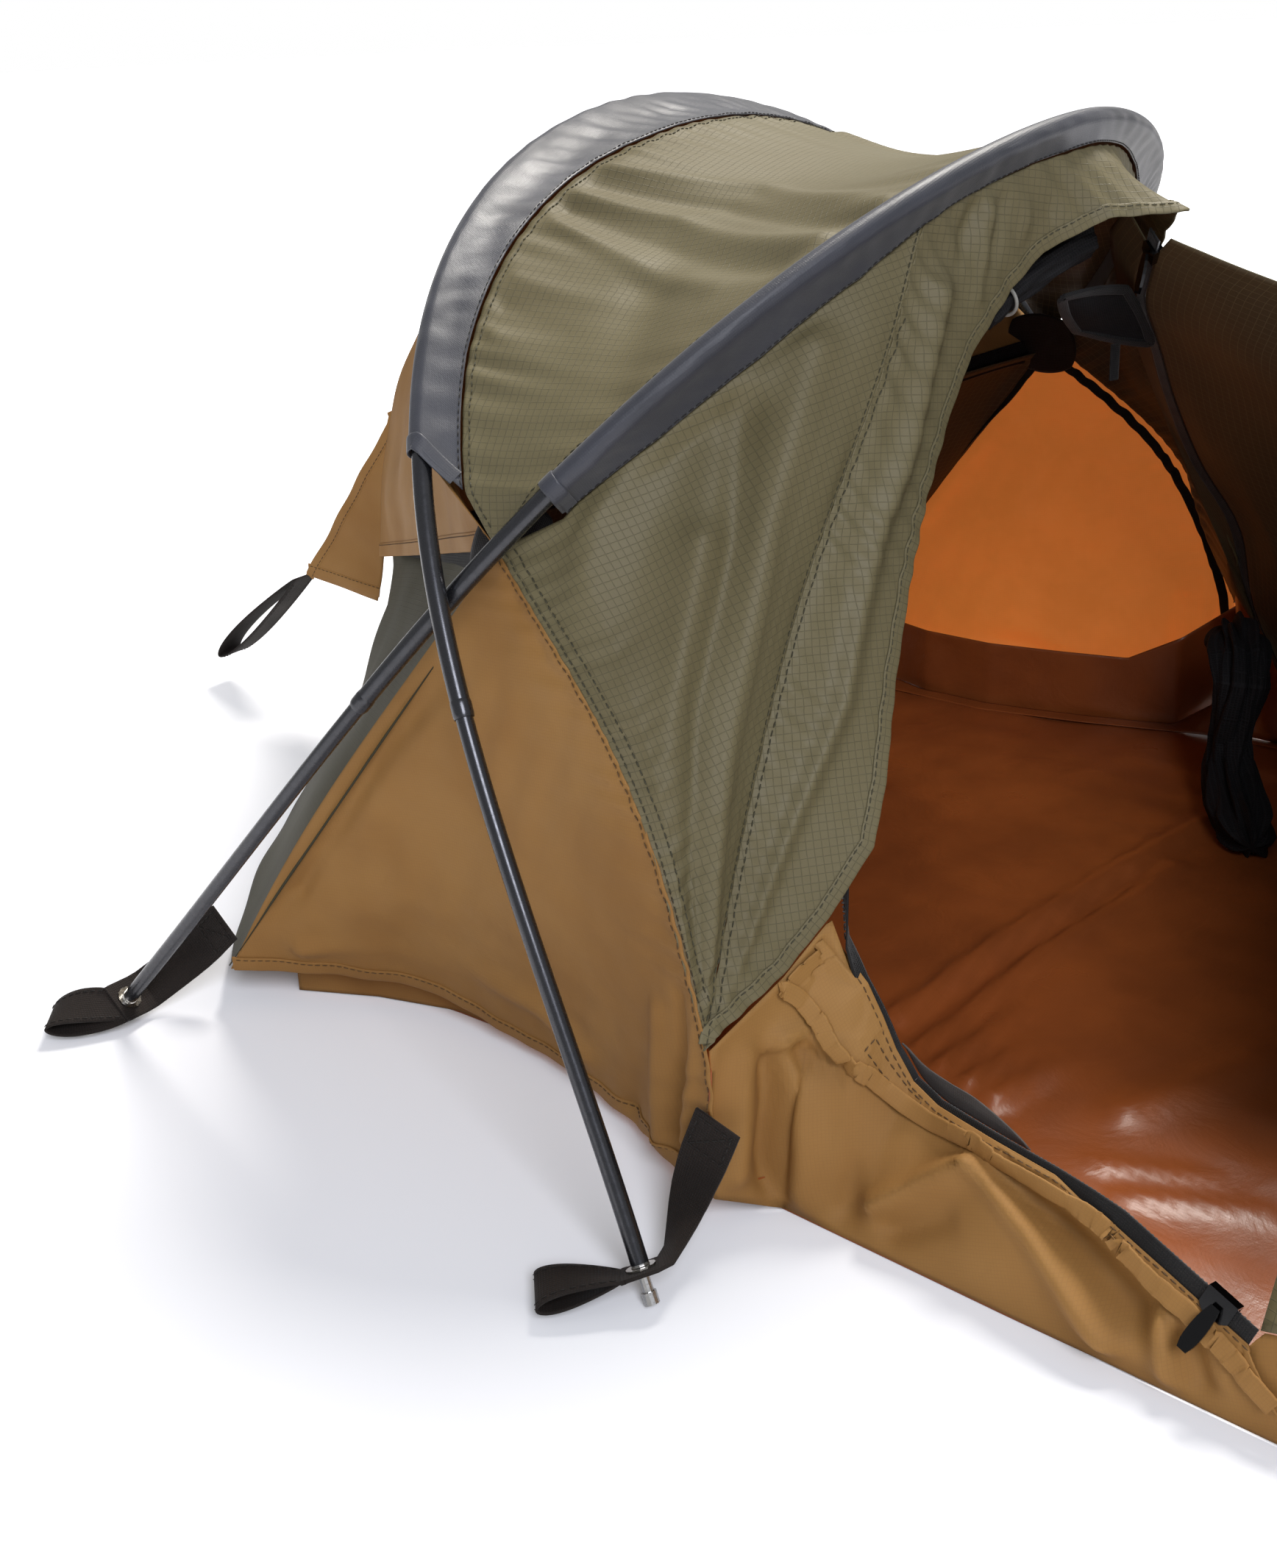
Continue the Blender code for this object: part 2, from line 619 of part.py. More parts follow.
def make_canopy():
    """Sleeves, roof, front fly and hood, all hung between the two hoops."""
    inside = np.array([0.0, rear_hoop_foot_y + hoop_spacing / 3, rise / 3])
    half = places(opening_edge_shares)
    opening = np.vstack([half, mirrored(half[-2::-1])])
    aim = resample(opening, stations + 1)
    corner = place(corner_share)
    far_corner = mirrored(corner)
    rear_band, rear_back = sleeve("rear_pole_sleeve", rear_hoop, rear_sleeve_start, front_hoop,
                                  rear_band_width, inside)
    front_band, _ = sleeve("front_pole_sleeve", front_hoop, front_sleeve_start, aim,
                           front_band_width, inside)
    front_back = facing_edge(front_hoop, front_sleeve_start, rear_band)
    # Below the sleeves' open ends the roof runs on down to the corner where the cloth panels meet
    below = -unit(rear_band[1] - rear_band[0]) * 5 * seam_gap
    rear_start, rear_hem = rear_back[0] + below, rear_band[0] + below
    below = -unit(front_back[1] - front_back[0]) * 5 * seam_gap
    front_start = front_back[0] + below
    rear_lead = np.array([corner * 0.85 + rear_start * 0.15, corner * 0.4 + rear_start * 0.6, rear_start, rear_hem])
    front_lead = corner + (front_start - corner) * np.array([[0.15], [0.5], [0.8], [1.0]])
    first = np.vstack([rear_lead, rear_band, mirrored(rear_lead)[::-1]])
    second = np.vstack([front_lead, front_back, mirrored(front_lead)[::-1]])
    roof = ruled(first, second, 5, seam_gap, seam_gap)
    sag = np.sin(np.linspace(0, math.pi, roof.shape[1]))[None, :, None]
    sag = sag * np.sin(np.linspace(0, math.pi, len(roof)))[:, None, None] * hoop_spacing * roof_sag_share
    roof = roof + unit(inside - roof) * sag
    sheet("roof_panel", roof, olive_ripstop)
    dart = rounded(places(dart_shares), 21)
    top = int(np.argmin(np.linalg.norm(front_band - dart[0], axis=1)))
    dart = np.vstack([[front_band[top]], dart[1:]])
    start = front_band[0] - unit(front_band[1] - front_band[0]) * 4 * cloth
    near_edge = resample(np.vstack([[corner], [start], front_band[0:top + 1]]), 12)
    seam = rounded(places(fly_seam_shares), 13)
    fly = three_sided(near_edge, seam[-1], seam, dart, 11, seam_gap, 5 * cloth)
    fly = trimmed_rows(fly, seam_gap, seam_gap)
    fly = fan_folds(fly, seam[-1], corner - seam[-1], hoop_spacing * 0.016, 14, rise)
    sheet("near_front_fly", fly, olive_ripstop)
    sheet("far_front_fly", mirrored(fly), olive_ripstop)
    outer = np.vstack([dart[::-1], front_band[top + 1:-top - 1], mirrored(dart)])
    first, second = resample(outer, 45), resample(opening, 45)
    keep = slice(1, -1)
    hood = ruled(first[keep], second[keep], 5, seam_gap * 2, 0.0)
    sheet("front_hood", hood, olive_ripstop)
    return rear_back


def make_side_panels():
    """The tan triangle under the crossed poles, from the fly seam down to its lifted hem."""
    seam = places(fly_seam_shares)
    front_edge = rounded(np.vstack([seam, places([panel_front_foot_share])]), 13)[1:]
    rear_edge = resample(np.array([place(corner_share), place(panel_rear_foot_share)]), 13)[1:]
    grid = ruled(front_edge, rear_edge, 11, 4 * seam_gap, 2 * seam_gap)
    hem = rounded(places(hem_shares), 11)
    level = np.linspace(0.0, 1.0, grid.shape[0])[:, None, None] ** 2
    grid = grid + (hem - grid[-1])[None] * level
    for word, points in (("near", grid), ("far", mirrored(grid))):
        sheet(f"{word}_side_panel", points, tan_cloth)


def make_head_end(rear_back):
    """Tan vent hood over the head, the olive panel under it and the tan guy fin."""
    count = 23
    corner = place(corner_share)
    back = place(hood_hem_back_share)
    across = np.linspace(-1.0, 1.0, count)
    near = 1.0 - np.abs(across)
    hem = np.stack([
        -corner[0] * across,
        corner[1] + (back[1] - corner[1]) * near,
        corner[2] + (back[2] - corner[2]) * near,
    ], axis=1)
    top = resample(rear_back, count)
    swell = np.linalg.norm(hem - top, axis=1)[:, None] * hood_bulge_share * (near ** 1.5)[:, None]
    control = 0.5 * (top + hem) + unit([0.0, 1.0, 0.55]) * 2 * swell
    v = np.linspace(0.0, 1.0, 8)[None, :, None]
    grid = (1 - v) ** 2 * top[:, None] + 2 * v * (1 - v) * control[:, None] + v ** 2 * hem[:, None]
    hood = trimmed_rows(grid, 2 * seam_gap, 2 * seam_gap)
    sheet("vent_hood", hood, tan_cloth)
    # The olive panel starts inside the hood's hem and runs to the ground
    near_foot = place(panel_rear_foot_share)
    end = place(ground_back_share)
    ground = np.stack([
        -near_foot[0] * across,
        near_foot[1] + (end[1] - near_foot[1]) * near,
        floor_cloth + 2 * cloth + (near_foot[2] - floor_cloth) * np.abs(across) ** 6,
    ], axis=1)
    ease = np.sqrt(near)[:, None]
    tuck = np.stack([-0.04 * hem[:, 0], np.full(count, -2 * slider_height), np.full(count, slider_height)], axis=1)
    inner = hem + tuck * ease + np.array([0.0, 3 * seam_gap, -2 * slider_height]) * (1 - ease)
    ground[:, 1] += 3 * seam_gap * (1 - near)
    panel = trimmed_rows(ruled(inner, ground, 5), seam_gap, seam_gap)
    sheet("head_panel", panel, olive_ripstop)
    middle, below = hood[len(hood) // 2], panel[len(panel) // 2]
    return make_guy_fin(middle, below)


def make_guy_fin(hood_line, panel_line):
    """A flat tan fin down the middle of the hood, ending in the head peg loop."""
    corner, top, hem = place(fin_corner_share), place(fin_top_share), place(fin_hem_share)
    line = resample(hood_line, 80)
    start = int(np.argmin(np.linalg.norm(line - top, axis=1)))
    line = line[start:]
    normal = unit(np.cross(np.gradient(line, axis=0), [1.0, 0.0, 0.0]))
    normal *= np.where(normal[:, 1:2] < 0, -1.0, 1.0)
    line = line + normal * (cloth + seam_gap)
    inner = resample(np.vstack([line, [hem]]), 9)
    upper = np.linspace(0.0, 1.0, 9)[:, None]
    outer = inner[0] + (corner - inner[0]) * upper
    outer[0] = outer[0] + unit(corner - inner[0]) * webbing_width / 2 + normal[0] * cloth
    outer = resample(outer, 9)
    sheet("guy_fin", ruled(inner, outer, 5), tan_cloth)
    return corner


def ridge_height(y):
    """The ridge sags from the hood to the foot."""
    start = place(ridge_start_share)
    foot_y = -half_length + foot_setback
    foot_z = ridge_foot_share * rise
    fall = np.exp(-(start[1] - y) / (ridge_sag_share * half_length))
    last = math.exp(-(start[1] - foot_y) / (ridge_sag_share * half_length))
    return foot_z + (start[2] - foot_z) * (fall - last) / (1 - last)


def side_edge(y):
    """The near edge of the cover: down the zip's side run and on to the foot."""
    side = places(zip_side_shares)
    foot_y = -half_length + foot_setback
    foot = np.array([-foot_half_width, foot_y, side_foot_share * rise])
    last = side[-1]
    middle = np.array([-0.5 * (abs(last[0]) + foot_half_width) * 1.08, 0.5 * (last[1] + foot_y), foot[2]])
    after = last + np.array([0.0, -hoop_spacing / 3, rise * 0.06])
    line = np.vstack([side, [after], [middle], [foot]])[::-1]
    y = np.asarray(y, float)
    return np.stack([np.interp(y, line[:, 1], line[:, 0]), y, np.interp(y, line[:, 1], line[:, 2])], axis=-1)


def ground_line(y):
    """The near edge of the floor."""
    waist = [(share[0] * span_at(share[1]), rear_hoop_foot_y + share[1] * hoop_spacing)
             for share in ground_waist_shares]
    foot_y = -half_length + foot_setback
    wide = (-0.825 * half_span, rear_hoop_foot_y - 0.70 * hoop_spacing)
    line = np.array([(-foot_half_width, foot_y), wide] + waist)
    return np.interp(y, line[:, 1], line[:, 0])


def make_floor():
    """The floor: a flat sheet from the foot to the rounded head."""
    foot_y = -half_length + foot_setback
    rows = np.concatenate([np.linspace(foot_y, rear_hoop_foot_y, 12), rear_hoop_foot_y
                           + hoop_spacing * np.array([0.15, 0.3, 0.45, 0.6, 0.75, 0.90])])
    half = np.abs(ground_line(rows))
    back = place(ground_back_share)[1] - 8 * seam_gap
    start = rows[-1]
    tail = start + (back - start) * np.array([0.35, 0.7, 1.0])
    tail_half = half[-1] * (1 - (tail - start) / (back - start)) * 0.97 + webbing_width / 2
    rows, half = np.concatenate([rows, tail]), np.concatenate([half, tail_half])
    v = np.linspace(-1.0, 1.0, 5)
    grid = np.stack([half[:, None] * v[None], np.repeat(rows[:, None], 5, axis=1),
                     np.full((len(rows), 5), floor_cloth / 2)], axis=2)
    sheet("floor", grid, tan_cloth, floor_cloth)


def zip_line():
    """The near zip's run over the arch and down the side, with the way its sewn edge faces."""
    line = rounded(np.vstack([places(zip_arch_shares), places(zip_side_shares)]), 41)
    keys = np.vstack([places(zip_arch_shares), places(zip_side_shares)])
    ways = np.vstack([zip_arch_side_shares, zip_side_side_shares])
    along = np.concatenate([[0.0], np.cumsum(np.linalg.norm(np.diff(keys, axis=0), axis=1))])
    s = np.linspace(0.0, along[-1], len(line))
    frame_way = unit(np.stack([np.interp(s, along, ways[:, k]) for k in range(3)], axis=1))
    tangent = unit(np.gradient(line, axis=0))
    frame_way = unit(frame_way - np.sum(frame_way * tangent, axis=1, keepdims=True) * tangent)
    # Where a slider runs, the zip is straight and lies in one plane
    for run in (slice(0, slider_run_points), slice(-slider_run_points, None)):
        count = slider_run_points
        line[run] = resample(line[run][[0, -1]], count)
        chord = unit(line[run][-1] - line[run][0])
        way = frame_way[run].mean(axis=0)
        frame_way[run] = unit(way - np.dot(way, chord) * chord)
    return line, frame_way


def make_zips():
    line, frame_way = zip_line()
    v = np.linspace(0.0, 1.0, 2)[None, :, None] * zip_width
    tape = line[:, None] + frame_way[:, None] * v
    sheet("far_zip_tape", mirrored(tape), black_tape, zip_thickness)
    # On the open side the loose half of the arch's tape is tucked in behind the fly
    keys = places(zip_arch_shares)
    turn = int(np.argmin(np.linalg.norm(line - keys[-1], axis=1)))
    edge = places(opening_edge_shares)[-1:1:-1] + np.array([0.0, 4 * seam_gap, 0.0])
    arch = resample(edge, turn + 1, 2 * slider_width)
    sewn = np.vstack([arch[:-1], (line + frame_way * zip_width)[turn + 1:]])
    free_way = np.vstack([np.tile([[0.10, 0.95, -0.10]], (turn, 1)), -frame_way[turn + 1:]])
    soft = free_way.copy()
    for k in range(-3, 4):
        j = turn + k
        soft[j] = unit(free_way[max(0, turn - 4)] * (3 - k) + free_way[min(turn + 3, len(free_way) - 1)] * (k + 3))
    tape = sewn[:, None] + unit(soft)[:, None] * v
    sheet("near_zip_tape", tape, black_tape, zip_thickness)
    tangent = unit(np.gradient(line, axis=0))
    spot = line[-2] + frame_way[-2] * zip_width / 2
    make_slider("near", spot, tangent[-2], frame_way[-2], True)
    flip = np.array([-1.0, 1.0, 1.0])
    spot = (line[1] + frame_way[1] * zip_width / 2) * flip
    make_slider("far", spot, tangent[1] * flip, frame_way[1] * flip, False)


def make_slider(word, spot, along, across, outside):
    """A zip slider: a channel round the tape's free edge, and its pull tab on one face."""
    along = unit(along)
    across = unit(across - np.dot(across, along) * along)
    normal = unit(np.cross(along, across))
    inward = np.array([0.0, rear_hoop_foot_y, 0.0]) - spot
    if (np.dot(normal, inward) > 0) == outside:
        normal = -normal
    half, slot = slider_height / 2, slider_height / 2 - slider_wall
    edge = -zip_width / 2 - slider_wall - 2 * fitting_gap
    mouth = edge + slider_width
    profile = [(mouth, -half), (edge, -half), (edge, half), (mouth, half),
               (mouth, slot), (edge + slider_wall, slot), (edge + slider_wall, -slot), (mouth, -slot)]
    points, faces = [], []
    ends = (-0.5, -0.3, 0.3, 0.5)
    narrow = (0.8, 1.0, 1.0, 0.8)
    for share, squeeze in zip(ends, narrow):
        for a, n in profile:
            far_side = mouth if a == mouth else a
            points.append(spot + along * slider_length * share + across * (edge + (far_side - edge) * squeeze)
                          + normal * n)
    count = len(profile)
    for k in range(len(ends) - 1):
        for j in range(count):
            i = (j + 1) % count
            faces.append((k * count + j, k * count + i, (k + 1) * count + i, (k + 1) * count + j))
    for base, turn in ((0, False), ((len(ends) - 1) * count, True)):
        quads = [(0, 1, 6, 7), (1, 2, 5, 6), (2, 3, 4, 5)]
        for quad in quads:
            quad = tuple(base + q for q in quad)
            faces.append(quad if turn else quad[::-1])
    made = mesh_object(f"{word}_zip_slider", points, faces, bright_metal)
    fix_normals(made)
    turn_about(made, spot)
    # The pull hangs from the slider's face
    top = spot + across * (edge + slider_width / 2) + normal * (half + fitting_gap + pull_thickness / 2)
    hang = unit(across + 0.45 * normal) if outside else unit(np.array([0.0, 0.0, -1.0]) + 0.2 * normal)
    wide = unit(np.cross(hang, normal))
    steps = np.linspace(0.0, 1.0, 7)[:, None]
    girth = pull_width * np.array([0.55, 0.8, 0.95, 1.0, 1.0, 0.9, 0.6])[:, None]
    across_pull = np.linspace(-0.5, 0.5, 3)[None, :]
    grid = (top + hang * steps * pull_length)[:, None] + wide * (girth * across_pull)[..., None]
    turn_about(sheet(f"{word}_zip_pull", grid, black_tape, pull_thickness), top)


def fix_normals(made):
    work = bmesh.new()
    work.from_mesh(made.data)
    bmesh.ops.recalc_face_normals(work, faces=work.faces)
    work.to_mesh(made.data)
    work.free()
    made.data.shade_flat()


def make_body():
    """Tub sides, the storm flap along the zip, and the foot end."""
    foot_y = -half_length + foot_setback
    line, frame_way = zip_line()
    turn = int(np.argmin(np.linalg.norm(line - place(zip_side_shares[0]), axis=1)))
    side, side_way = line[turn:], frame_way[turn:]
    lead = places([opening_edge_shares[0], opening_edge_shares[1], opening_edge_shares[2]])
    lead = lead + np.array([0.0, 0.0, -4 * seam_gap])
    head_top = lead
    zip_top = side + side_way * (zip_width + 5 * seam_gap)
    ys = np.linspace(side[-1][1] - seam_gap * 4, foot_y, 10)
    foot_top = side_edge(ys) + np.array([0.0, 0.0, -4 * seam_gap])
    top = np.vstack([head_top, zip_top, foot_top])
    base = floor_cloth + seam_gap * 2
    lower = np.stack([ground_line(top[:, 1]), top[:, 1], np.full(len(top), base)], axis=1)
    lower[0] = place(panel_front_foot_share) + np.array([0.0, -7 * seam_gap, 0.0])
    lower[1] = 0.5 * (lower[0] + lower[2])
    top[0] = top[0] + np.array([0.0, -7 * seam_gap, 0.0])
    inner_ys = rear_hoop_foot_y + hoop_spacing * np.array([0.85, 0.73, 0.6, 0.45, 0.3, 0.17, 0.07])
    inner_low = np.stack([ground_line(inner_ys), inner_ys, np.full(7, base)], axis=1)
    inner_top = inner_low + np.array([0.012, 0.0, 1.0]) * inner_wall_height
    inner_top[-1, 2] = 0.5 * (inner_top[-1, 2] + top[0, 2])
    top, lower = np.vstack([inner_top, top]), np.vstack([inner_low, lower])
    wall = ruled(top, lower, 4)
    swell = np.sin(np.linspace(0, math.pi, 4))[None, :, None]
    reach = np.linalg.norm(top - lower, axis=1)[:, None, None]
    belly = np.clip(np.arange(len(top)) / 6.0 - 1.7, 0.0, 1.0)[:, None, None]
    wall = wall + np.array([-0.10, 0.0, 0.0]) * swell * reach * belly
    for word, points in (("near", wall), ("far", mirrored(wall))):
        sheet(f"{word}_tub_side", points, tan_cloth)
    # The storm flap covers the near zip from outside
    outward = unit(np.cross(np.gradient(side, axis=0), side_way))
    outward *= np.where(outward[:, 0:1] > 0, -1.0, 1.0)
    inner = side + outward * ((zip_thickness + cloth) / 2 + seam_gap)
    drop = np.linspace(0.55, 0.0, len(side))[:, None]
    way = unit(np.array([-0.80, 0.0, -0.50]) + np.array([0.0, 0.75, 0.0]) * drop ** 2)
    v = np.linspace(0.0, 1.0, 4)[None, :, None] * storm_flap_width
    flap = inner[:, None] + way[:, None] * v
    sheet("storm_flap", flap[:-4], tan_cloth)
    edge = side_edge(np.array([foot_y]))[0]
    half_base = abs(ground_line(foot_y))
    v = np.linspace(-1.0, 1.0, 7)
    crown = float(ridge_height(foot_y))
    upper = np.stack([v * abs(edge[0]), np.full(7, foot_y - 2 * seam_gap),
                      edge[2] + (crown - edge[2]) * (1 - np.abs(v))], axis=1)
    below = np.stack([v * half_base, np.full(7, foot_y - 2 * seam_gap), np.full(7, base)], axis=1)
    sheet("foot_end", ruled(upper, below, 4), tan_cloth)


def cover_row(y, v):
    """One line of the cover from the ridge (0) down to the near side's edge (1)."""
    edge = side_edge(y)
    ridge = np.array([0.0, y, float(ridge_height(y))])
    return ridge[None] * (1 - v)[:, None] + edge[None] * v[:, None]


def door_rows(columns, v):
    """The zipped half of the cover: lines from the arch and the zip back to the door's end."""
    line, _ = zip_line()
    turn = int(np.argmin(np.linalg.norm(line - place(zip_side_shares[0]), axis=1)))
    door_y = rear_hoop_foot_y + door_end_share * hoop_spacing
    ridge_start = place(ridge_start_share)
    front = resample(np.vstack([[ridge_start], line[1:turn + 1]]), 41)
    back = cover_row(door_y, np.linspace(0.0, 1.0, 41))
    side = resample(line[turn:], columns)
    s = np.linspace(0.0, 1.0, 41)
    pick = np.stack([np.interp(v, s, front[:, k]) for k in range(3)], axis=1)
    pick_back = np.stack([np.interp(v, s, back[:, k]) for k in range(3)], axis=1)
    u = np.linspace(0.0, 1.0, columns)[None, :, None]
    grid = pick[:, None] * (1 - u) + pick_back[:, None] * u
    straight = front[-1] * (1 - u[0]) + back[-1] * u[0]
    ridge_line = np.stack([np.zeros(columns), np.interp(u[0, :, 0], [0, 1], [ridge_start[1], door_y])], axis=1)
    sag = ridge_height(ridge_line[:, 1]) - np.interp(u[0, :, 0], [0, 1], [ridge_start[2], back[0][2]])
    grid = grid + (side - straight)[None] * (v ** 3)[:, None, None]
    grid[..., 2] += sag[None] * ((1 - v) ** 3)[:, None]
    return grid


def make_cover():
    """The olive cover: far half from the far zip to the foot, near half behind the door, and the door."""
    foot_y = -half_length + foot_setback
    door_y = rear_hoop_foot_y + door_end_share * hoop_spacing
    v = np.concatenate([[0.0025], np.linspace(0.10, 0.90, 8), [0.98]])
    rows = [cover_row(y, v) for y in np.linspace(door_y, foot_y, 13)]
    near = np.array(rows)
    near[0, :, 1] -= seam_gap
    sheet("near_cover", near, olive_ripstop)
    door = door_rows(10, v)
    far = np.concatenate([door, np.array(rows[1:]).transpose(1, 0, 2)], axis=1)
    clear = 7 * seam_gap + slider_width * np.clip(1.0 - v / 0.30, 0.0, 1.0)
    lead = unit(far[:, 1] - far[:, 0])
    far[:, 0] += lead * clear[:, None]
    sheet("far_cover", mirrored(far), olive_ripstop)
    make_door(door)


def make_door(door):
    """The door: the near half's front part, thrown over the ridge to lie on the far half."""
    hinge = place(ridge_start_share)
    door_y = rear_hoop_foot_y + door_end_share * hoop_spacing
    end = np.array([0.0, door_y, float(ridge_height(door_y))])
    axis = unit(end - hinge)
    slope = math.atan2(end[2] - side_edge(door_y)[2], abs(side_edge(door_y)[0]))
    turn = math.pi + 2 * slope - door_lift
    spin = np.array(Matrix.Rotation(turn, 3, Vector(axis)))
    rest = (door - hinge) @ spin.T + hinge
    if rest[4, 0, 0] < 0 or rest[4, 0, 2] < door[4, 0, 2] - rise / 4:
        spin = np.array(Matrix.Rotation(-turn, 3, Vector(axis)))
        rest = (door - hinge) @ spin.T + hinge
    rest = rest[1:]
    rest[:, 0] += unit(rest[:, 1] - rest[:, 0]) * slider_length
    turn_about(sheet("door_flap", rest, olive_ripstop), hinge)


def make_netting():
    """The insect net: rolled under the hood, a panel left hanging, and the bundle on the far side."""
    roll = rounded(places(net_roll_shares), 11)
    rod("net_roll", roll, net_roll_radius, black_net, 1)
    bundle = rounded(places(net_bundle_shares), 11)
    rod("net_bundle", bundle, net_bundle_share * rise, black_net, 1)
    ring_spot, ring_way = roll[2], unit(roll[3] - roll[1])
    side = unit(np.cross(ring_way, [0.0, 0.0, 1.0]))
    up = np.cross(side, ring_way)
    a = np.linspace(0, 2 * math.pi, 17)
    radius = net_roll_radius + elastic_radius + fitting_gap
    ring = ring_spot + radius * (np.cos(a)[:, None] * side + np.sin(a)[:, None] * up)
    loop = rod_curve("net_tie_loop", ring[:-1], elastic_radius, 1, False)
    loop.data.splines[0].use_cyclic_u = True
    as_mesh(loop, elastic_cord, True)
    tl, tr, br, bl = places(net_panel_shares)
    v = np.linspace(0.0, 1.0, 6)[None, :, None]
    u = np.linspace(0.0, 1.0, 6)[:, None, None]
    grid = (tl * (1 - u) + bl * u) * (1 - v) + (tr * (1 - u) + br * u) * v
    sheet("net_panel", grid, black_net, pocket_cloth)
    top = place(net_pull_share)
    drop = np.array([0.0, 0.0, -1.0])
    steps = np.linspace(0.0, 1.0, 5)[:, None, None] * pull_length
    wide = np.linspace(-0.5, 0.5, 3)[None, :, None] * pull_width
    grid = top + drop * steps + np.array([0.9, -0.4, 0.0]) * wide
    sheet("net_zip_pull", grid, black_tape, pull_thickness)


def main():
    remove_old_objects()
    make_hoop("rear", rear_hoop)
    make_hoop("front", front_hoop)
    for side in (-1, 1):
        make_foot("rear", rear_hoop, rear_tab_shares, rear_tab_turn, side)
        make_foot("front", front_hoop, front_tab_shares, front_tab_turn, side)
    rear_back = make_canopy()
    make_side_panels()
    fin_corner = make_head_end(rear_back)
    make_end_loops(fin_corner)
    make_floor()
    make_body()
    make_zips()
    make_cover()
    make_netting()


main()
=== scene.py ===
# One-person bivvy tent, pitched on its two crossed pole hoops with the side door open.
# Metres, +Z up, head to +Y, open door on -X.
import math

import bpy
import numpy as np
from mathutils import Matrix, Vector


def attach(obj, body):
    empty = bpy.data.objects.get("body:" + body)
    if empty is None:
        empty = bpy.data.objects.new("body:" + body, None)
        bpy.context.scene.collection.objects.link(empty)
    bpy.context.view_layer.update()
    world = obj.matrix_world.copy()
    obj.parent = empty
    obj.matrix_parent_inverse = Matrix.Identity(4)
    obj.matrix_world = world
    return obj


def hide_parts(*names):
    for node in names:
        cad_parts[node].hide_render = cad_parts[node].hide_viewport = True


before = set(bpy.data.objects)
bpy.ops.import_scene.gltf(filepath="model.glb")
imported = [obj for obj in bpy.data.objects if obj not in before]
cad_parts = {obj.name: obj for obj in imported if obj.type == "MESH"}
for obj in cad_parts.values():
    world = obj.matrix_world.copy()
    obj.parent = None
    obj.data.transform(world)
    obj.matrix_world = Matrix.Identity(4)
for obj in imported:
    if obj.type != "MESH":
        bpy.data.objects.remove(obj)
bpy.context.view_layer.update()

# the tent's main sizes, the same as in the CAD source
tent = {
    "halfLength": 1.21, "span": 0.421, "frontSpan": 0.4075, "rearY": 0.430, "frontY": 0.815,
    "rearHeight": 0.553, "frontHeight": 0.614, "rearLean": 60.0, "frontLean": 130.4,
    "rearArch": (1.06, 0.655, -0.066), "frontArch": (1.10, 0.605, -0.070),
    "grommetHeight": 0.018, "footHalfWidth": 0.20, "footSetback": 0.06,
    "poleRadius": 0.0049, "footPoleRadius": 0.0043, "cloth": 0.0006,
}
spacing = tent["frontY"] - tent["rearY"]
rise = tent["grommetHeight"] + tent["frontHeight"] * math.sin(math.radians(tent["frontLean"]))
footY = -tent["halfLength"] + tent["footSetback"]


# curves and surfaces
def unit(vectors):
    vectors = np.asarray(vectors, float)
    return vectors / np.maximum(np.linalg.norm(vectors, axis=-1, keepdims=True), 1e-12)


def squareTo(vectors, ways):  # what is left of each vector square to each way, as a direction
    return unit(vectors - np.sum(vectors * ways, axis=1, keepdims=True) * ways)


def turnedUp(vector, axis):  # the vector or its opposite, whichever points up that axis
    return vector * (1.0 if vector[axis] > 0 else -1.0)


def turnedAway(ways, points, centre):  # each way or its opposite, whichever points away from a place
    return ways * np.where(np.sum(ways * (points - centre), axis=1, keepdims=True) < 0, -1.0, 1.0)


def placeOf(share):  # shares of the half span there, of the hoop spacing and of the rise
    span = tent["span"] + (tent["frontSpan"] - tent["span"]) * min(max(share[1], 0.0), 1.0)
    return np.array([share[0] * span, tent["rearY"] + share[1] * spacing, share[2] * rise])


def placesOf(shares):
    return np.array([placeOf(share) for share in shares])


def mirrored(points):
    return np.asarray(points) * np.array([-1.0, 1.0, 1.0])


flips = {"near": np.asarray, "far": mirrored}


def arcLength(points):
    steps = np.linalg.norm(np.diff(points, axis=0), axis=1)
    return np.concatenate([[0.0], np.cumsum(steps)])


def readAt(at, along, values):  # places read off a row, at distances measured along it
    return np.stack([np.interp(at, along, values[:, k]) for k in range(3)], axis=-1)


def atIndex(values, index):  # places between the ones of a row, by number
    return readAt(index, np.arange(len(values)), values)


def resample(points, count, startGap=0.0, endGap=0.0):  # even steps along a polyline
    points = np.asarray(points, float)
    along = arcLength(points)
    return readAt(np.linspace(startGap, along[-1] - endGap, count), along, points)


def rounded(points, count):  # Catmull-Rom through a few places: cubic blend of four neighbours
    points = np.asarray(points, float)
    padded = np.vstack([2 * points[0] - points[1], points, 2 * points[-1] - points[-2]])
    t = np.linspace(0.0, 1.0, 17)[:-1, None]
    a, b, c, d = (padded[k:len(padded) - 3 + k, None] for k in range(4))
    run = 0.5 * (2 * b + (c - a) * t + (2 * a - 5 * b + 4 * c - d) * t ** 2
                 + (3 * b - a - 3 * c + d) * t ** 3)
    return resample(np.vstack([run.reshape(-1, 3), points[-1:]]), count)


def ruled(first, second, count, firstGap=0.0, secondGap=0.0):  # straight rows between two edges
    reach = np.linalg.norm(second - first, axis=1)[:, None]
    v = np.linspace(0.0, 1.0, count)[None, :]
    v = firstGap / reach + v * (1.0 - (firstGap + secondGap) / reach)
    return first[:, None] + (second - first)[:, None] * v[..., None]


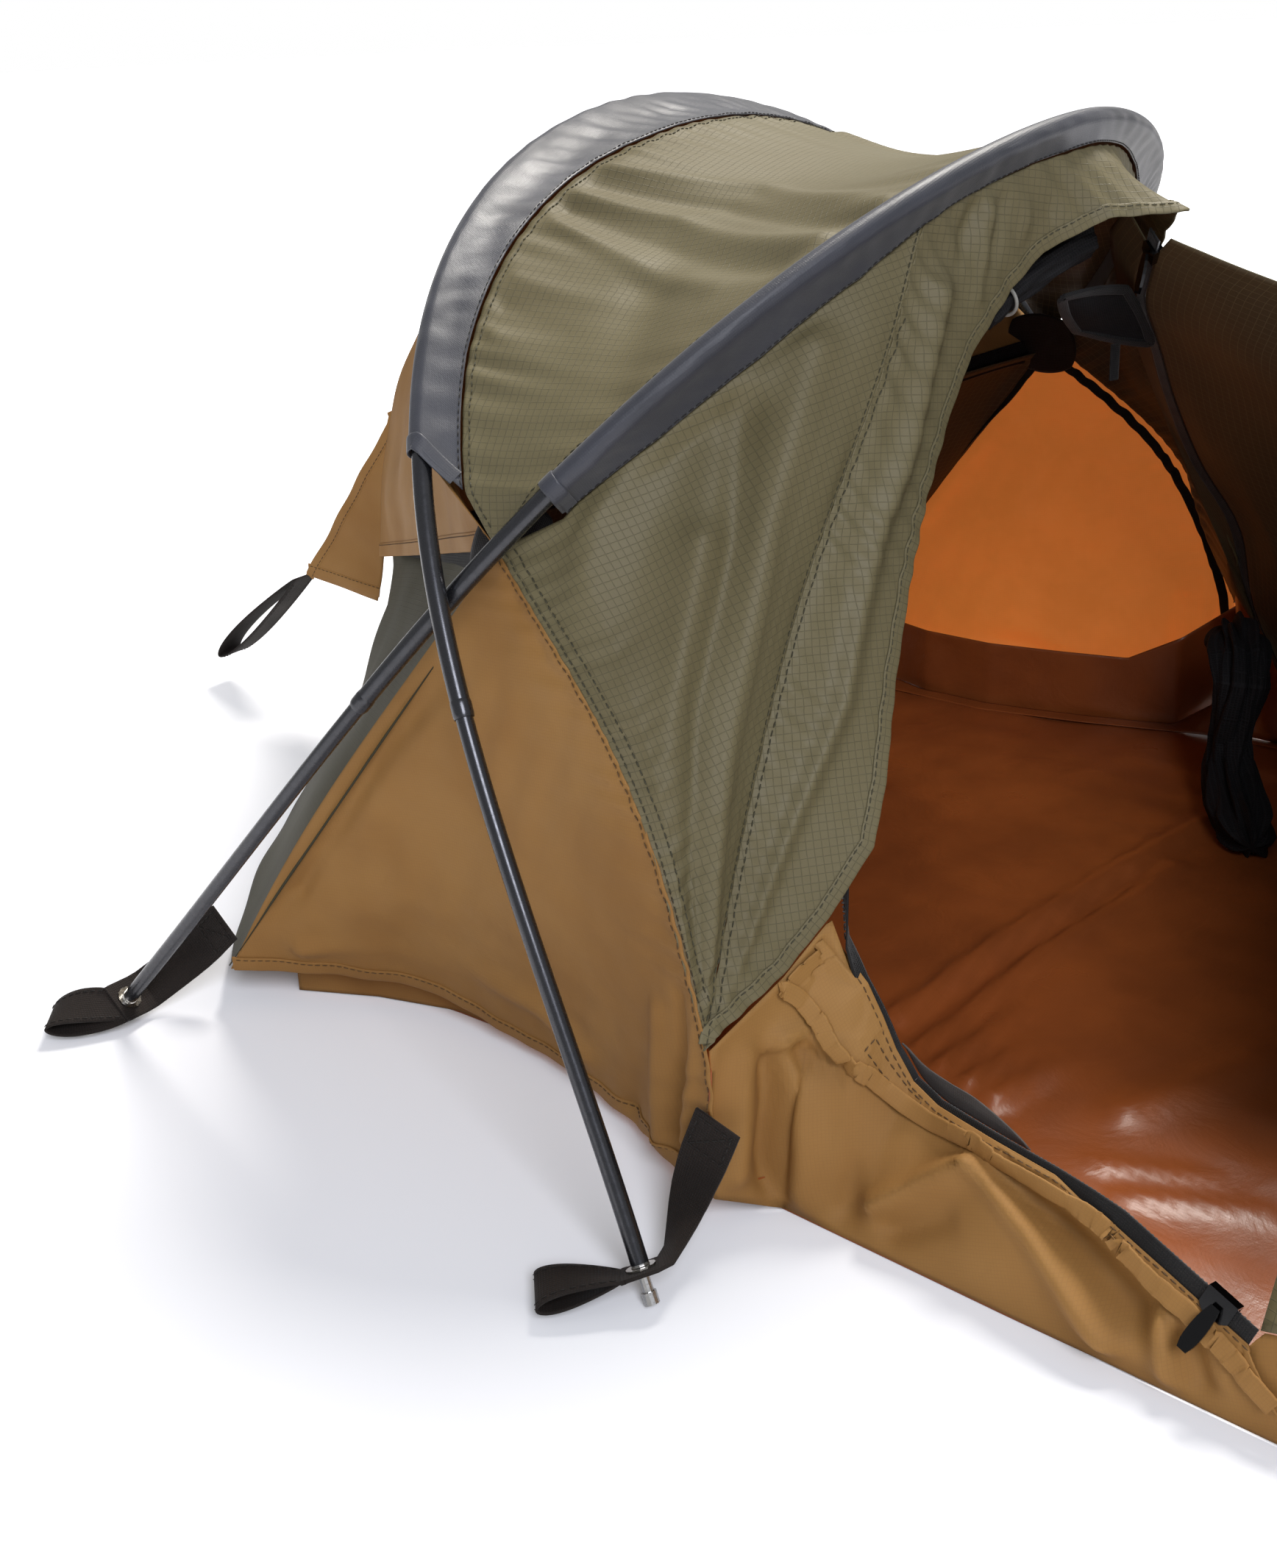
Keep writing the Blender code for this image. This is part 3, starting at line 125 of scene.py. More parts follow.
def threeSided(edge, corner, firstSide, lastSide, columns, gap=0.0, cornerGap=0.0):
    # rows run from an edge to one corner, bowed by the two side seams near them
    v = np.linspace(0.0, 1.0, 61)
    straight = edge[:, None] * (1 - v)[None, :, None] + corner * v[None, :, None]
    firstBow = resample(firstSide, 61) - straight[0]
    lastBow = resample(lastSide, 61) - straight[-1]
    s = np.linspace(0.0, 1.0, len(edge))[:, None, None]
    full = straight + firstBow[None] * (1 - s) ** 2 + lastBow[None] * s ** 2
    return np.array([resample(row, columns, gap, cornerGap) for row in full])


def gridNormals(grid):
    return unit(np.cross(np.gradient(grid, axis=0), np.gradient(grid, axis=1)))


def facing(grid, outside):  # normals turned to the side that the given direction shows
    normals = gridNormals(grid)
    middle = normals.reshape(-1, 3).mean(axis=0)
    return normals * (1.0 if np.dot(middle, outside) >= 0 else -1.0)


def edgeDistance(grid, axis, fromEnd):  # distance along the rows or columns from one border
    steps = np.linalg.norm(np.diff(grid, axis=axis), axis=2)
    if fromEnd:
        steps = np.flip(steps, axis=axis)
    first = np.zeros_like(np.take(steps, [0], axis=axis))
    total = np.concatenate([first, np.cumsum(steps, axis=axis)], axis=axis)
    return np.flip(total, axis=axis) if fromEnd else total


def softNoise(points, size, seed):  # a few sine waves in fixed directions, from -1 to 1
    random = np.random.default_rng(seed)
    ways = unit(random.normal(size=(9, 3))) * random.uniform(0.6, 1.7, (9, 1)) * 2 * math.pi / size
    return np.sin(points @ ways.T + random.uniform(0, 2 * math.pi, 9)).sum(axis=-1) / 4.5


def pucker(grid, normals, axis, fromEnd, pitch, depth, reach, seed):
    # ripples that stand square to a seam: a wave along it that dies away from it
    away = edgeDistance(grid, axis, fromEnd)
    along = edgeDistance(grid, 1 - axis, False)
    border = np.take(along, [-1 if fromEnd else 0], axis=axis)
    along = np.broadcast_to(border, along.shape)
    line = np.take(grid, [-1 if fromEnd else 0], axis=axis)
    wobble = np.broadcast_to(softNoise(line, pitch * 7, seed), along.shape)
    strength = 0.55 + 0.45 * np.broadcast_to(softNoise(line, pitch * 4, seed + 1), along.shape)
    wave = np.sin(2 * math.pi * along / pitch + 3.0 * wobble)
    fade = (0.25 + away / reach) * np.exp(1 - away / reach) / 1.25
    return grid + normals * (depth * strength * wave * fade)[..., None]


def unrolled(grid):
    # a ruled strip laid flat: each next row is set down by its distances from the row before
    first, last = grid[:, 0], grid[:, -1]
    flat = np.zeros((len(grid), 2, 2))
    flat[0, 1, 1] = np.linalg.norm(last[0] - first[0])
    for i in range(1, len(grid)):
        a, b = flat[i - 1]
        for k, spot in ((0, first[i]), (1, last[i])):
            base = b - a
            reach = max(math.hypot(*base), 1e-6)
            toA = np.linalg.norm(spot - (first[i - 1] if k == 0 else first[i]))
            toB = np.linalg.norm(spot - last[i - 1])
            x = (toA ** 2 - toB ** 2 + reach ** 2) / (2 * reach)
            h = math.sqrt(max(toA ** 2 - x ** 2, 0.0))
            flat[i, k] = a + base / reach * x + np.array([base[1], -base[0]]) / reach * h
            a = flat[i, 0]
    along = edgeDistance(grid, 1, False)
    v = (along / along[:, -1:])[..., None]
    return flat[:, :1] * (1 - v) + flat[:, 1:] * v


def lineDistance(points, line):  # distance to a polyline, and how far along it the nearest place is
    line = np.asarray(line, float)
    along = arcLength(line)
    best, share = np.full(points.shape[:-1], 1e9), np.zeros(points.shape[:-1])
    for a, b, start in zip(line[:-1], line[1:], along):
        run = b - a
        t = np.clip((points - a) @ run / (run @ run), 0.0, 1.0)
        away = np.linalg.norm(points - a - t[..., None] * run, axis=-1)
        nearer = away < best
        best = np.where(nearer, away, best)
        share = np.where(nearer, (start + t * np.linalg.norm(run)) / along[-1], share)
    return best, share


def drape(points, normals, folds):
    # each fold follows a line, all in millimetres: a bell curve across it, whose width and height
    # change from its first end to its last
    points = np.asarray(points, float)
    total = np.zeros(points.shape[:-1])
    for line, widths, heights in folds:
        away, t = lineDistance(points, np.asarray(line) / 1000)
        (w0, w1), (h0, h1) = np.array([widths, heights]) / 1000
        total += (h0 + (h1 - h0) * t) * np.exp(-(away / (w0 + (w1 - w0) * t)) ** 2)
    return points + normals * total[..., None]


def insetLine(grid, axis, fromEnd, distance, values=None):
    # a line inside a grid, at one distance from a border; the same for values given on the grid
    values = grid if values is None else values
    away = edgeDistance(grid, axis, fromEnd)
    if axis == 0:
        away, values = away.T, values.transpose(1, 0, 2)
    if fromEnd:
        away, values = away[:, ::-1], values[:, ::-1]
    return np.array([readAt(distance, row, spots) for row, spots in zip(away, values)])


def lineOn(grid, places, count):
    # a line through a grid, by places given as shares of its rows and columns
    places, steps = np.asarray(places, float), np.linspace(0, len(places) - 1, count)
    u, v = (np.interp(steps, np.arange(len(places)), places[:, k]) * (grid.shape[k] - 1) for k in (0, 1))
    i, j = np.minimum(u.astype(int), grid.shape[0] - 2), np.minimum(v.astype(int), grid.shape[1] - 2)
    a, b = (u - i)[:, None], (v - j)[:, None]
    one, other = (grid[i, j + k] * (1 - a) + grid[i + 1, j + k] * a for k in (0, 1))
    return one * (1 - b) + other * b


def clearOf(points, surface, normals, gap):  # lifts the places that lie under a surface or close to it
    spots, ways = surface.reshape(-1, 3), normals.reshape(-1, 3)
    size = np.sum(spots ** 2, axis=1)
    lifted = points.reshape(-1, 3).copy()
    for start in range(0, len(lifted), 500):
        part = lifted[start:start + 500]
        nearest = np.argmin(size[None] - 2 * part @ spots.T, axis=1)
        height = np.sum((part - spots[nearest]) * ways[nearest], axis=1)
        part += ways[nearest] * np.maximum(gap - height, 0.0)[:, None]
    return lifted.reshape(points.shape)


def heldEdges(grid, width, rows=(True, True), columns=(True, True)):
    # 0 on the sewn borders and 1 a little way in, so that a fold leaves the seams where they are
    mask = np.ones(grid.shape[:2])
    for axis, ends in ((0, rows), (1, columns)):
        for fromEnd, held in zip((False, True), ends):
            if held:
                mask = np.minimum(mask, np.clip(edgeDistance(grid, axis, fromEnd) / width, 0.0, 1.0))
    return (mask * mask * (3 - 2 * mask))[..., None]


def loosened(grid, outside, border, wave, folds=(), rows=(True, True), columns=(True, True), squash=1.0):
    # folds and a slow wave (depth, size, seed) on a panel that leave its sewn borders where they
    # are, and its normals
    normals = facing(grid, outside)
    held = heldEdges(grid, border, rows, columns)
    grid = grid + (drape(grid, normals, folds) - grid) * held
    depth, size, seed = wave
    return grid + normals * held * (depth * softNoise(grid * squash, size, seed))[..., None], normals


def roundedSquare(count, cut):  # two coordinates from -1 to 1 over a square with its corners drawn in
    x, y = np.meshgrid(np.linspace(-1, 1, count), np.linspace(-1, 1, count))
    return x * np.sqrt(1 - cut * y ** 2), y * np.sqrt(1 - cut * x ** 2)


# materials
def tone(code):  # sRGB hex to linear colour
    parts = [int(code[k:k + 2], 16) / 255 for k in (1, 3, 5)]
    return tuple(c / 12.92 if c <= 0.04045 else ((c + 0.055) / 1.055) ** 2.4 for c in parts) + (1.0,)


def addNode(tree, kind, values=None, links=None, **settings):
    node = tree.nodes.new("ShaderNode" + kind)
    for key, value in settings.items():
        setattr(node, key, value)
    for key, value in (values or {}).items():
        node.inputs[key].default_value = value
    for key, source in (links or {}).items():
        tree.links.new(source, node.inputs[key])
    return node


def newFinish(name):
    made = bpy.data.materials.new(name)
    made.use_nodes = True
    made.node_tree.nodes.clear()
    return made, made.node_tree


def finishWith(tree, shader):
    addNode(tree, "OutputMaterial", links={"Surface": shader.outputs[0]})


def clothFinish(name, plan):
    # woven nylon: slow colour drift, a thread grid on its own map, a fine weave and small creases
    made, tree = newFinish(name)
    weave = addNode(tree, "UVMap", uv_map="weave")
    spot = addNode(tree, "TexCoord")
    drift = addNode(tree, "TexNoise", {"Scale": plan["driftScale"], "Detail": 3.0, "Roughness": 0.55},
                    {"Vector": spot.outputs["Object"]})
    colour = addNode(tree, "Mix", {"A": tone(plan["base"]), "B": tone(plan["drift"])},
                     data_type="RGBA")
    spread = addNode(tree, "MapRange", {"From Min": 0.38, "From Max": 0.62, "To Min": 0.0, "To Max": 1.0},
                     {"Value": drift.outputs["Fac"]})
    tree.links.new(spread.outputs["Result"], colour.inputs["Factor"])
    grid = addNode(tree, "TexBrick", {"Color1": (0, 0, 0, 1), "Color2": (0, 0, 0, 1), "Mortar": (1, 1, 1, 1),
                                      "Scale": 1.0 / plan["gridPitch"], "Mortar Size": plan["gridLine"],
                                      "Mortar Smooth": 0.6, "Brick Width": 1.0, "Row Height": 1.0},
                   {"Vector": weave.outputs["UV"]}, offset=0.0, squash=1.0)
    lined = addNode(tree, "Mix", {"B": tone(plan["gridColour"])},
                    {"A": colour.outputs["Result"]}, data_type="RGBA")
    amount = addNode(tree, "Math", {1: plan["gridShow"]}, {0: grid.outputs["Color"]}, operation="MULTIPLY")
    tree.links.new(amount.outputs[0], lined.inputs["Factor"])
    speck = addNode(tree, "TexNoise", {"Scale": plan["speckScale"], "Detail": 4.0},
                    {"Vector": spot.outputs["Object"]})
    creases = addNode(tree, "TexNoise", {"Scale": 26.0, "Detail": 5.0, "Roughness": 0.6, "Distortion": 0.8},
                      {"Vector": spot.outputs["Object"]})
    first = addNode(tree, "Bump", {"Strength": plan["creaseBump"], "Distance": 0.004},
                    {"Height": creases.outputs["Fac"]})
    second = addNode(tree, "Bump", {"Strength": plan["gridBump"], "Distance": 0.0006},
                     {"Height": grid.outputs["Color"], "Normal": first.outputs[0]})
    third = addNode(tree, "Bump", {"Strength": plan["speckBump"], "Distance": 0.0005},
                    {"Height": speck.outputs["Fac"], "Normal": second.outputs[0]})
    rough = addNode(tree, "MapRange", {"From Min": 0.3, "From Max": 0.7, "To Min": plan["roughness"] - 0.07,
                                       "To Max": plan["roughness"] + 0.07}, {"Value": drift.outputs["Fac"]})
    # a plan's glow is a painted glow: emission that stands in for light coming through the cloth
    shader = addNode(tree, "BsdfPrincipled",
                     {"Sheen Weight": plan["sheen"], "Sheen Roughness": 0.4, "IOR": 1.52,
                      "Specular IOR Level": plan["shine"],
                      "Subsurface Weight": plan["through"], "Subsurface Scale": 0.0008,
                      "Subsurface Radius": (1.0, 0.5, 0.25),
                      "Emission Color": tone(plan["glow"] or "#000000"),
                      "Emission Strength": 1.0 if plan["glow"] else 0.0},
                     {"Base Color": lined.outputs["Result"], "Roughness": rough.outputs["Result"],
                      "Normal": third.outputs[0]})
    finishWith(tree, shader)
    return made


clothCommon = {"gridPitch": 0.0016, "speckScale": 900.0, "speckBump": 0.12, "creaseBump": 0.10, "sheen": 0.0,
               "shine": 0.35, "through": 0.0, "glow": None}
ripstop = {"driftScale": 5.0, "gridPitch": 0.0040, "gridLine": 0.06, "gridShow": 0.5, "gridBump": 0.5}
clothPlans = {
    # coated ripstop nylon: flat sheen, a raised thread every 4 mm
    "oliveRipstop": {**ripstop, "base": "#6e664a", "drift": "#685f43", "gridColour": "#4f4c39", "roughness": 0.56},
    # the same ripstop on the head end, darkened with painted shade where the photo shows it darker
    "shadedRipstop": {**ripstop, "base": "#45422f", "drift": "#3f3c2a", "gridColour": "#34322a", "shine": 0.2,
                      "roughness": 0.65},
    # the same cloth's uncoated brown side, where the thread grid shows paler
    "ripstopInside": {**ripstop, "base": "#54452f", "drift": "#483a28", "gridPitch": 0.0050, "gridLine": 0.05,
                      "gridColour": "#7a6a4c", "gridBump": 0.4, "roughness": 0.55},
    # tight coated taffeta: even tan with faint mottling
    "tanTaffeta": {"base": "#a0763f", "drift": "#946a36", "driftScale": 9.0, "gridLine": 0.12,
                   "gridColour": "#7d5d38", "gridShow": 0.18, "gridBump": 0.15, "speckScale": 700.0,
                   "speckBump": 0.15, "creaseBump": 0.14, "roughness": 0.72},
    # the taffeta of the raised side panels seen from inside, painted bright orange and given a painted glow
    # (emission), standing in for the light shining through it from behind
    "paintedGlowTaffeta": {"base": "#e08838", "drift": "#cc7628", "driftScale": 16.0, "gridLine": 0.12,
                       "gridColour": "#b5651d", "gridShow": 0.15, "gridBump": 0.1, "speckScale": 260.0,
                       "speckBump": 0.15, "roughness": 0.6, "through": 0.3, "glow": "#8f4e20"},
    # rust coloured proofing on the floor and the tub's inside: smooth and glossy
    "rustProofing": {"base": "#a85a2b", "drift": "#964f25", "driftScale": 12.0, "gridLine": 0.12,
                     "gridColour": "#75401e", "gridShow": 0.12, "gridBump": 0.08, "speckScale": 420.0,
                     "speckBump": 0.06, "creaseBump": 0.22, "roughness": 0.33, "shine": 0.6},
    # blue-grey oxford nylon of the pole sleeves: soft satin
    "sleeveOxford": {"base": "#40424b", "drift": "#373941", "driftScale": 14.0, "gridPitch": 0.0012,
                     "gridLine": 0.2, "gridColour": "#3a3b42", "gridShow": 0.2, "gridBump": 0.2,
                     "speckScale": 800.0, "speckBump": 0.2, "creaseBump": 0.12, "roughness": 0.42,
                     "sheen": 0.2, "shine": 0.5},
    # black-brown nylon webbing: ribs across the strap every 1.4 mm
    "nylonWebbing": {"base": "#251a14", "drift": "#1e1510", "driftScale": 30.0, "gridPitch": 0.0014,
                     "gridLine": 0.22, "gridColour": "#150f0c", "gridShow": 0.7, "gridBump": 0.9,
                     "speckBump": 0.3, "creaseBump": 0.03, "roughness": 0.8, "sheen": 0.05},
    # black knitted insect netting, its holes drawn coarser than real ones so that they show
    "insectNet": {"base": "#121113", "drift": "#0c0b0d", "driftScale": 30.0, "gridPitch": 0.0018,
                  "gridLine": 0.25, "gridColour": "#232225", "gridShow": 0.6, "gridBump": 0.8,
                  "speckScale": 700.0, "speckBump": 0.3, "roughness": 0.85},
    # woven polyester zip tape
    "zipTape": {"base": "#191819", "drift": "#121112", "driftScale": 40.0, "gridPitch": 0.0012,
                "gridLine": 0.25, "gridColour": "#060606", "gridShow": 0.5, "gridBump": 0.5,
                "speckBump": 0.2, "creaseBump": 0.02, "roughness": 0.7, "sheen": 0.2},
    # grey facing tape behind the zip
    "facingTape": {"base": "#55514f", "drift": "#4a4644", "driftScale": 40.0, "gridPitch": 0.0014,
                   "gridLine": 0.2, "gridColour": "#3c3937", "gridShow": 0.4, "gridBump": 0.4,
                   "speckBump": 0.2, "creaseBump": 0.05, "roughness": 0.7, "sheen": 0.2},
}
finishes = {name: clothFinish(name, {**clothCommon, **plan}) for name, plan in clothPlans.items()}


def plainFinish(name, plan):
    # metal, enamel or plastic: fine grain in roughness and a faint drift in colour
    made, tree = newFinish(name)
    spot = addNode(tree, "TexCoord")
    grain = addNode(tree, "TexNoise", {"Scale": plan["grainScale"], "Detail": 3.0},
                    {"Vector": spot.outputs["Object"]})
    colour = addNode(tree, "Mix", {"A": tone(plan["base"]), "B": tone(plan["drift"])},
                     {"Factor": grain.outputs["Fac"]}, data_type="RGBA")
    rough = addNode(tree, "MapRange", {"From Min": 0.3, "From Max": 0.7, "To Min": plan["roughness"] * 0.8,
                                       "To Max": plan["roughness"] * 1.25}, {"Value": grain.outputs["Fac"]})
    bump = addNode(tree, "Bump", {"Strength": plan["bump"], "Distance": 0.0002},
                   {"Height": grain.outputs["Fac"]})
    shader = addNode(tree, "BsdfPrincipled", {"Metallic": plan["metallic"], "Coat Weight": plan.get("coat", 0.0),
                                              "Coat Roughness": 0.12},
                     {"Base Color": colour.outputs["Result"], "Roughness": rough.outputs["Result"],
                      "Normal": bump.outputs[0]})
    finishWith(tree, shader)
    return made


thread = {"grainScale": 1500.0, "roughness": 0.7, "metallic": 0.0, "bump": 0.3}
plainPlans = {
    # hard-anodised aluminium tube: dark grey, smooth, with a long thin shine
    "anodisedTube": {"base": "#4a4b50", "drift": "#3f4044", "grainScale": 300.0, "roughness": 0.26,
                     "metallic": 0.85, "bump": 0.05, "coat": 0.3},
    # nickel-plated brass fittings
    "nickelPlate": {"base": "#c9c4bb", "drift": "#b5b0a8", "grainScale": 500.0, "roughness": 0.22,
                    "metallic": 1.0, "bump": 0.05},
    # pole tip of turned aluminium
    "turnedAluminium": {"base": "#c4c4c2", "drift": "#b4b4b4", "grainScale": 700.0, "roughness": 0.3,
                        "metallic": 1.0, "bump": 0.1},
    # moulded zip coil: dark grey nylon with a silvery shine
    "nylonCoil": {"base": "#8d8d90", "drift": "#77777a", "grainScale": 900.0, "roughness": 0.35,
                  "metallic": 0.35, "bump": 0.05},
    # black chromed zip slider and pull
    "blackChrome": {"base": "#1d1d20", "drift": "#141416", "grainScale": 600.0, "roughness": 0.18,
                    "metallic": 0.9, "bump": 0.03, "coat": 0.5},
    # braided elastic
    "elasticBraid": {"base": "#a9a8a3", "drift": "#8c8b86", "grainScale": 1400.0, "roughness": 0.7,
                     "metallic": 0.0, "bump": 0.4},
    # spun polyester sewing thread
    "oliveThread": {**thread, "base": "#4a4734", "drift": "#3d3a2b"},
    "tanThread": {**thread, "base": "#5f4527", "drift": "#533b20"},
    "blackThread": {**thread, "base": "#26221f", "drift": "#1c1917"},
}
finishes.update({name: plainFinish(name, plan) for name, plan in plainPlans.items()})
print("finishes ready", len(finishes))


# making pieces
def settle(made, body, replaced):
    if replaced:
        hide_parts(*replaced)
    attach(made, body)
    return made


def newObject(name, points, faces, used, threads=None, sharp=None):
    # a smooth mesh in the scene; its map gives metres along the threads of its cloth
    mesh = bpy.data.meshes.new(name)
    mesh.from_pydata(np.asarray(points, float).tolist(), [], faces)
    if threads is not None:
        layer = mesh.uv_layers.new(name="weave")
        corner = np.zeros(len(mesh.loops), int)
        mesh.loops.foreach_get("vertex_index", corner)
        layer.data.foreach_set("uv", threads[corner].astype(np.float32).ravel())
    for finish in used:
        mesh.materials.append(finishes[finish])
    mesh.shade_smooth()
    if sharp:
        mesh.set_sharp_from_angle(angle=math.radians(sharp))
    made = bpy.data.objects.new(name, mesh)
    bpy.context.scene.collection.objects.link(made)
    return made


def gridFaces(rows, columns, closedRows=False, closedColumns=False):
    index = np.arange(rows * columns).reshape(rows, columns)
    if closedRows:
        index = np.vstack([index, index[:1]])
    if closedColumns:
        index = np.hstack([index, index[:, :1]])
    return np.stack([index[:-1, :-1], index[:-1, 1:], index[1:, 1:], index[1:, :-1]], axis=-1).reshape(-1, 4)


def clothPiece(name, grid, within, finish, slot, inner=None, replaced=(), body="tent", thickness=None,
               closed=False, held=None, flip=False, flat=None, keep=None):
    # a grid of points, turned to face away from a place within and given a wall inwards; its map
    # is the cloth laid flat, in metres along the threads
    rows, columns = grid.shape[:2]
    faces = gridFaces(rows, columns, closedRows=closed)
    if keep is not None:
        faces = faces[keep(grid.reshape(-1, 3)[faces].mean(axis=1))]
    normal = gridNormals(grid).reshape(-1, 3)
    lean = np.sum(normal * (grid.reshape(-1, 3) - np.asarray(within)), axis=1).mean()
    if (lean > 0) != flip:
        faces = faces[:, ::-1]
    if flat is None:
        u = edgeDistance(grid, 0, False)
        u = np.broadcast_to(np.median(u, axis=1)[:, None], u.shape)
        flat = np.stack([u, edgeDistance(grid, 1, False)], axis=-1)
    made = newObject(name, grid.reshape(-1, 3), faces.tolist(), (finish, inner or finish), flat.reshape(-1, 2))
    wall = made.modifiers.new("wall", "SOLIDIFY")
    wall.thickness = thickness or tent["cloth"]
    wall.offset = -1.0
    wall.material_offset = 1
    wall.use_even_offset = False
    return settle(made, body, replaced)


def carryFrames(path):  # directions across a path, turned as little as possible along it
    tangents = unit(np.gradient(path, axis=0))
    side = np.cross(tangents[0], [0.0, 0.0, 1.0])
    side = side if np.linalg.norm(side) > 0.1 else np.cross(tangents[0], [1.0, 0.0, 0.0])
    sides = [unit(side)]
    for tangent in tangents[1:]:
        last = sides[-1] - np.dot(sides[-1], tangent) * tangent
        sides.append(unit(last))
    sides = np.array(sides)
    return sides, np.cross(tangents, sides)


def tubePiece(name, path, radii, sides, finish, body="tent", replaced=(), shape=None, closed=False):
    # a circle carried along a path; shape adds to the radius by station and angle
    path = np.asarray(path, float)
    across, up = carryFrames(path)
    a = np.linspace(0, 2 * math.pi, sides, endpoint=False)
    radii = np.broadcast_to(np.asarray(radii, float).reshape(-1, 1), (len(path), sides)).copy()
    if shape is not None:
        radii = radii + shape(arcLength(path)[:, None], a[None, :])
    ring = across[:, None] * np.cos(a)[None, :, None] + up[:, None] * np.sin(a)[None, :, None]
    points = (path[:, None] + ring * radii[..., None]).reshape(-1, 3)
    faces = gridFaces(len(path), sides, closedRows=closed, closedColumns=True).tolist()
    if not closed:
        count = len(points)
        points = np.vstack([points, path[:1], path[-1:]])
        last = (len(path) - 1) * sides
        faces += [(count, (k + 1) % sides, k) for k in range(sides)]
        faces += [(count + 1, last + k, last + (k + 1) % sides) for k in range(sides)]
    girth = a * float(np.mean(radii))
    threads = np.stack(np.broadcast_arrays(arcLength(path)[:, None], girth[None, :]), axis=-1).reshape(-1, 2)
    if not closed:
        threads = np.vstack([threads, [[0, 0]], [[float(arcLength(path)[-1]), 0]]])
    return settle(newObject(name, points, faces, (finish,), threads, 50), body, replaced)


def manyOf(name, spots, along, up, shape, shapeFaces, finish, body="tent"):
    # one small shape set down at every spot, with its own X along the run and Z off the cloth
    along = unit(along)
    side = unit(np.cross(up, along))
    up = np.cross(along, side)
    turn = np.stack([along, side, up], axis=1)
    points = spots[:, None] + np.einsum("mk,nkj->nmj", shape, turn)
    count = len(shape)
    faces = np.concatenate([np.array([f]) + count * np.arange(len(spots))[:, None] for f in shapeFaces])
    return settle(newObject(name, points.reshape(-1, 3), faces.tolist(), (finish,)), body, ())


stitchPlan = {"length": 0.0030, "gap": 0.0014, "radius": 0.00042, "rise": 0.0003}
stitchShape = np.array([[x * 0.5, y, z] for x, w in ((-1.0, 0.55), (0.0, 1.0), (1.0, 0.55))
                        for y, z in ((-w, 0.0), (0.0, w), (w, 0.0), (0.0, -w))])
stitchFaces = [(0, 1, 5, 4), (1, 2, 6, 5), (2, 3, 7, 6), (3, 0, 4, 7),
               (4, 5, 9, 8), (5, 6, 10, 9), (6, 7, 11, 10), (7, 4, 8, 11), (3, 2, 1, 0), (8, 9, 10, 11)]


def stitches(name, line, up, finish, body="tent", radius=None):
    # sewing: short rounded threads along a line, with a gap between each
    along = arcLength(line)
    pitch = stitchPlan["length"] + stitchPlan["gap"]
    count = max(2, int(along[-1] / pitch))
    s = (np.arange(count) + 0.5) * along[-1] / count
    spots, ahead, behind = (readAt(s + step, along, line) for step in (0.0, 0.001, -0.001))
    ups = unit(readAt(s, along, np.broadcast_to(up, line.shape)))
    thick = radius or stitchPlan["radius"]
    shape = stitchShape * np.array([stitchPlan["length"], thick, thick])
    return manyOf(name, spots + ups * stitchPlan["rise"], ahead - behind, ups, shape, stitchFaces,
                  finish, body)


# poles
def hoopPoints(span, y, lean, height, arch, count):
    # rounded arch: x falls as a power of the cosine and height as a power of the sine
    xPower, heightPower, drawIn = arch
    t = np.linspace(0.0, math.pi, 4001)
    k = np.abs(np.sin(t)) ** heightPower
    x = -span * np.sign(np.cos(t)) * np.abs(np.cos(t)) ** xPower * (1 + 4 * drawIn * k * (1 - k))
    lean = math.radians(lean)
    return resample(np.stack([x, y + height * k * math.cos(lean),
                              tent["grommetHeight"] + height * k * math.sin(lean)], axis=1), count)


stations = 216  # four to each CAD station
rearHoop = hoopPoints(tent["span"], tent["rearY"], tent["rearLean"], tent["rearHeight"],
                      tent["rearArch"], stations + 1)
frontHoop = hoopPoints(tent["frontSpan"], tent["frontY"], tent["frontLean"], tent["frontHeight"],
                       tent["frontArch"], stations + 1)

polePlan = {"joins": (36, 84, 132, 180), "sides": 28, "collarLength": 0.009, "collar": 0.00035}


def polePieces(word, hoop):
    def tube(name, run, radii, *nodes):
        tubePiece(word + name, run, radii, polePlan["sides"], "anodisedTube",
                  replaced=[f"{word}_pole_{node}_section" for node in nodes])

    a, b, c, d = polePlan["joins"]
    arch, foot = tent["poleRadius"], tent["footPoleRadius"]
    ends = {"near": (slice(0, a + 4), slice(a, b)), "far": (slice(d - 3, None), slice(c + 1, d + 1))}
    for side, (footRun, archRun) in ends.items():
        tube(f"{side.title()}FootTube", hoop[footRun], foot, f"{side}_foot")
        tube(f"{side.title()}ArchTube", hoop[archRun], arch, f"{side}_arch")
    tube("TopTube", hoop[b:c + 1], arch, "top_arch")
    for side, at, way in (("Near", a, 1), ("Far", d, -1)):  # rolled collar where the arch tube ends
        run = resample(hoop[at:at + 3 * way:way], 12)
        run = resample(run, 12, 0.0, arcLength(run)[-1] - polePlan["collarLength"])
        s = np.linspace(0, 1, 12)
        swell = np.sin(np.clip(s * 6, 0, 1.57)) * np.sin(np.clip((1 - s) * 6, 0, 1.57))
        tube(f"{side}Collar", run, arch + polePlan["collar"] * swell)


polePieces("rear", rearHoop)
polePieces("front", frontHoop)
for node, finish in (("pole_tip", "turnedAluminium"), ("grommet", "nickelPlate")):
    for word in ("rear_near", "rear_far", "front_near", "front_far"):
        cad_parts[f"{word}_{node}"].data.materials[0] = finishes[finish]
for word in ("rear", "front"):
    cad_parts[f"{word}_pole_shock_cord"].data.materials[0] = finishes["elasticBraid"]
print("poles done")

